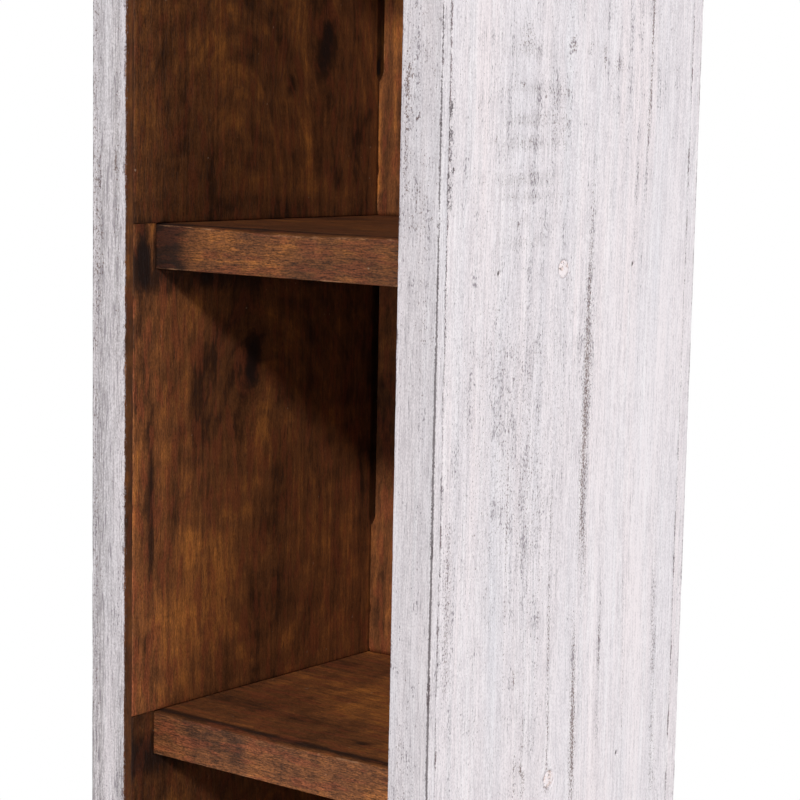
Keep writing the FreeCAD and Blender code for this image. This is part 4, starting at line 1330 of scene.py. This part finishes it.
def studio_floor():
    """A wide pale disc: rings of points at growing radius, seen as white away from the tower's shadow."""
    turns = np.linspace(0, 2 * np.pi, 96, endpoint=False)
    ring = np.stack([np.cos(turns), np.sin(turns), np.zeros(len(turns))], axis=-1)
    points = np.concatenate([np.zeros((1, 3)), (FLOOR_RADII[:, None, None] * ring).reshape(-1, 3)])
    mesh = bpy.data.meshes.new("studio_floor")
    mesh.from_pydata(points.tolist(), [], disc_faces(0, len(FLOOR_RADII), len(turns))[0])
    recipe = Recipe(bpy.data.materials.new("studio_floor"))
    lengths = {"operation": "LENGTH"}
    distance = recipe.node("ShaderNodeVectorMath", lengths, {0: recipe.place()}, output="Value")
    paper = recipe.node("ShaderNodeBsdfDiffuse", None, {"Color": PAPER})
    white = recipe.node("ShaderNodeEmission", None, {"Color": WHITE, "Strength": 1.0})
    share = recipe.seen() * distance.rise(0.35, 1.0)
    mesh.materials.append(recipe.close("ShaderNodeMixShader", {0: share, 1: paper, 2: white}))
    floor = bpy.data.objects.new("studio_floor", mesh)
    bpy.context.scene.collection.objects.link(floor)


def studio_sky(strength):
    """Even light all round, and plain white where it is seen."""
    recipe = Recipe(bpy.data.worlds.new("studio"))
    light = recipe.node("ShaderNodeBackground", None, {"Color": SKY_COLOUR, "Strength": strength})
    white = recipe.node("ShaderNodeBackground", None, {"Color": WHITE, "Strength": 1.0})
    shaders = {0: recipe.seen(), 1: light, 2: white}
    bpy.context.scene.world = recipe.close("ShaderNodeMixShader", shaders, "ShaderNodeOutputWorld")


# Operators


class TOWER_OT_studio(bpy.types.Operator):
    """Set up the camera, the lamps and the white studio"""

    bl_idname = "tower.studio"
    bl_label = "Studio"

    def execute(self, context):
        studio = context.scene.tower_studio
        context.scene.view_settings.view_transform = "Standard"
        studio_camera(studio)
        studio_floor()
        studio_sky(studio.sky)
        for name, (place, target, width) in LAMPS.items():
            area_lamp(name, place, target, width, getattr(studio, name))
        return {"FINISHED"}


class TOWER_OT_outer_boards(bpy.types.Operator):
    """Make the whitewashed sides, back and top, with their holes"""

    bl_idname = "tower.outer_boards"
    bl_label = "Outer boards"

    def execute(self, context):
        outer_side("left_side_panel", -1, 12)
        outer_side("right_side_panel", 1, 11)
        outer_back()
        outer_top()
        return {"FINISHED"}


class TOWER_OT_facings(bpy.types.Operator):
    """Make the whitewashed strips over the front edges"""

    bl_idname = "tower.facings"
    bl_label = "Facing strips"

    def execute(self, context):
        facing_strip("left_front_facing", X, Z, 101, 1)
        facing_strip("right_front_facing", X, Z, 102, -1)
        facing_strip("top_front_facing", Z, X, 103, -1)
        return {"FINISHED"}


class TOWER_OT_linings(bpy.types.Operator):
    """Make the brown boards that line the sides, the backs and the top"""

    bl_idname = "tower.linings"
    bl_label = "Lining boards"

    def execute(self, context):
        for side_number, side in enumerate(("left", "right")):
            for level in range(COMPARTMENTS + 1):
                name = f"{side}_liner_{level}" if level else f"{side}_base_liner"
                lining_board(name, 200 + 60 * side_number + 7 * level)
        for level in range(1, COMPARTMENTS + 1):
            steps = [1.6 * MM, 4 * MM, 12 * MM, 4 * MM]
            radii = [0.9 * MM, 0.4 * MM, 0.4 * MM, 0.4 * MM]
            plain_board(f"back_board_{level}", (X, Y, Z), steps, 350 + 7 * level, radii, back_board_insets)
        plain_board("ceiling_board", (Y, Z, X), [1.8 * MM, 4 * MM, 12 * MM, 1.5 * MM], 401, [0.4 * MM] * 4)
        return {"FINISHED"}


class TOWER_OT_shelves(bpy.types.Operator):
    """Make the brown shelves, the bottom board and the plinth rail"""

    bl_idname = "tower.shelves"
    bl_label = "Shelves"

    def execute(self, context):
        for number, node in enumerate(SHELF_NODES):
            shelf_board(node, 500 + 7 * number)
        plain_board("plinth_rail", (Z, Y, X), [1.2 * MM, 2 * MM, 2 * MM, 2 * MM], 601, [0.8 * MM] * 4)
        return {"FINISHED"}


class TOWER_OT_fixings(bpy.types.Operator):
    """Make the screw plugs and give the brads and screws their steel"""

    bl_idname = "tower.fixings"
    bl_label = "Fixings"

    def execute(self, context):
        plug_faces("left_screw_plugs", -1)
        plug_faces("right_screw_plugs", 1)
        steel = finish_of(dull_steel)
        for name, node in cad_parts.items():
            if "brad" in name or name.endswith("screws"):
                node.data.materials.clear()
                node.data.materials.append(steel)
        return {"FINISHED"}


class TOWER_PT_panel(bpy.types.Panel):
    """Lists the steps that make the tower"""

    bl_idname = "TOWER_PT_panel"
    bl_label = "CD Tower"
    bl_space_type = "VIEW_3D"
    bl_region_type = "UI"
    bl_category = "CD Tower"

    def draw(self, context):
        for step in STEPS:
            self.layout.operator(step.bl_idname)
        for group in (context.scene.tower_sizes, context.scene.tower_colours, context.scene.tower_studio):
            column = self.layout.column()
            for name in group.__annotations__:
                column.prop(group, name)


STEPS = (
    TOWER_OT_studio,
    TOWER_OT_outer_boards,
    TOWER_OT_facings,
    TOWER_OT_linings,
    TOWER_OT_shelves,
    TOWER_OT_fixings,
)
GROUPS = {"tower_sizes": TowerSizes, "tower_colours": TowerColours, "tower_studio": TowerStudio}


def register():
    """Add the tower's settings, steps and panel to Blender."""
    for group in GROUPS.values():
        bpy.utils.register_class(group)
    for name, group in GROUPS.items():
        setattr(bpy.types.Scene, name, bpy.props.PointerProperty(type=group))
    for step in STEPS:
        bpy.utils.register_class(step)
    bpy.utils.register_class(TOWER_PT_panel)


def unregister():
    """Take them out again."""
    bpy.utils.unregister_class(TOWER_PT_panel)
    for step in reversed(STEPS):
        bpy.utils.unregister_class(step)
    for name, group in GROUPS.items():
        delattr(bpy.types.Scene, name)
        bpy.utils.unregister_class(group)


def main():
    """Build the tower."""
    register()
    for step in STEPS:
        group, name = step.bl_idname.split(".")
        getattr(getattr(bpy.ops, group), name)()


if __name__ == "__main__":
    main()
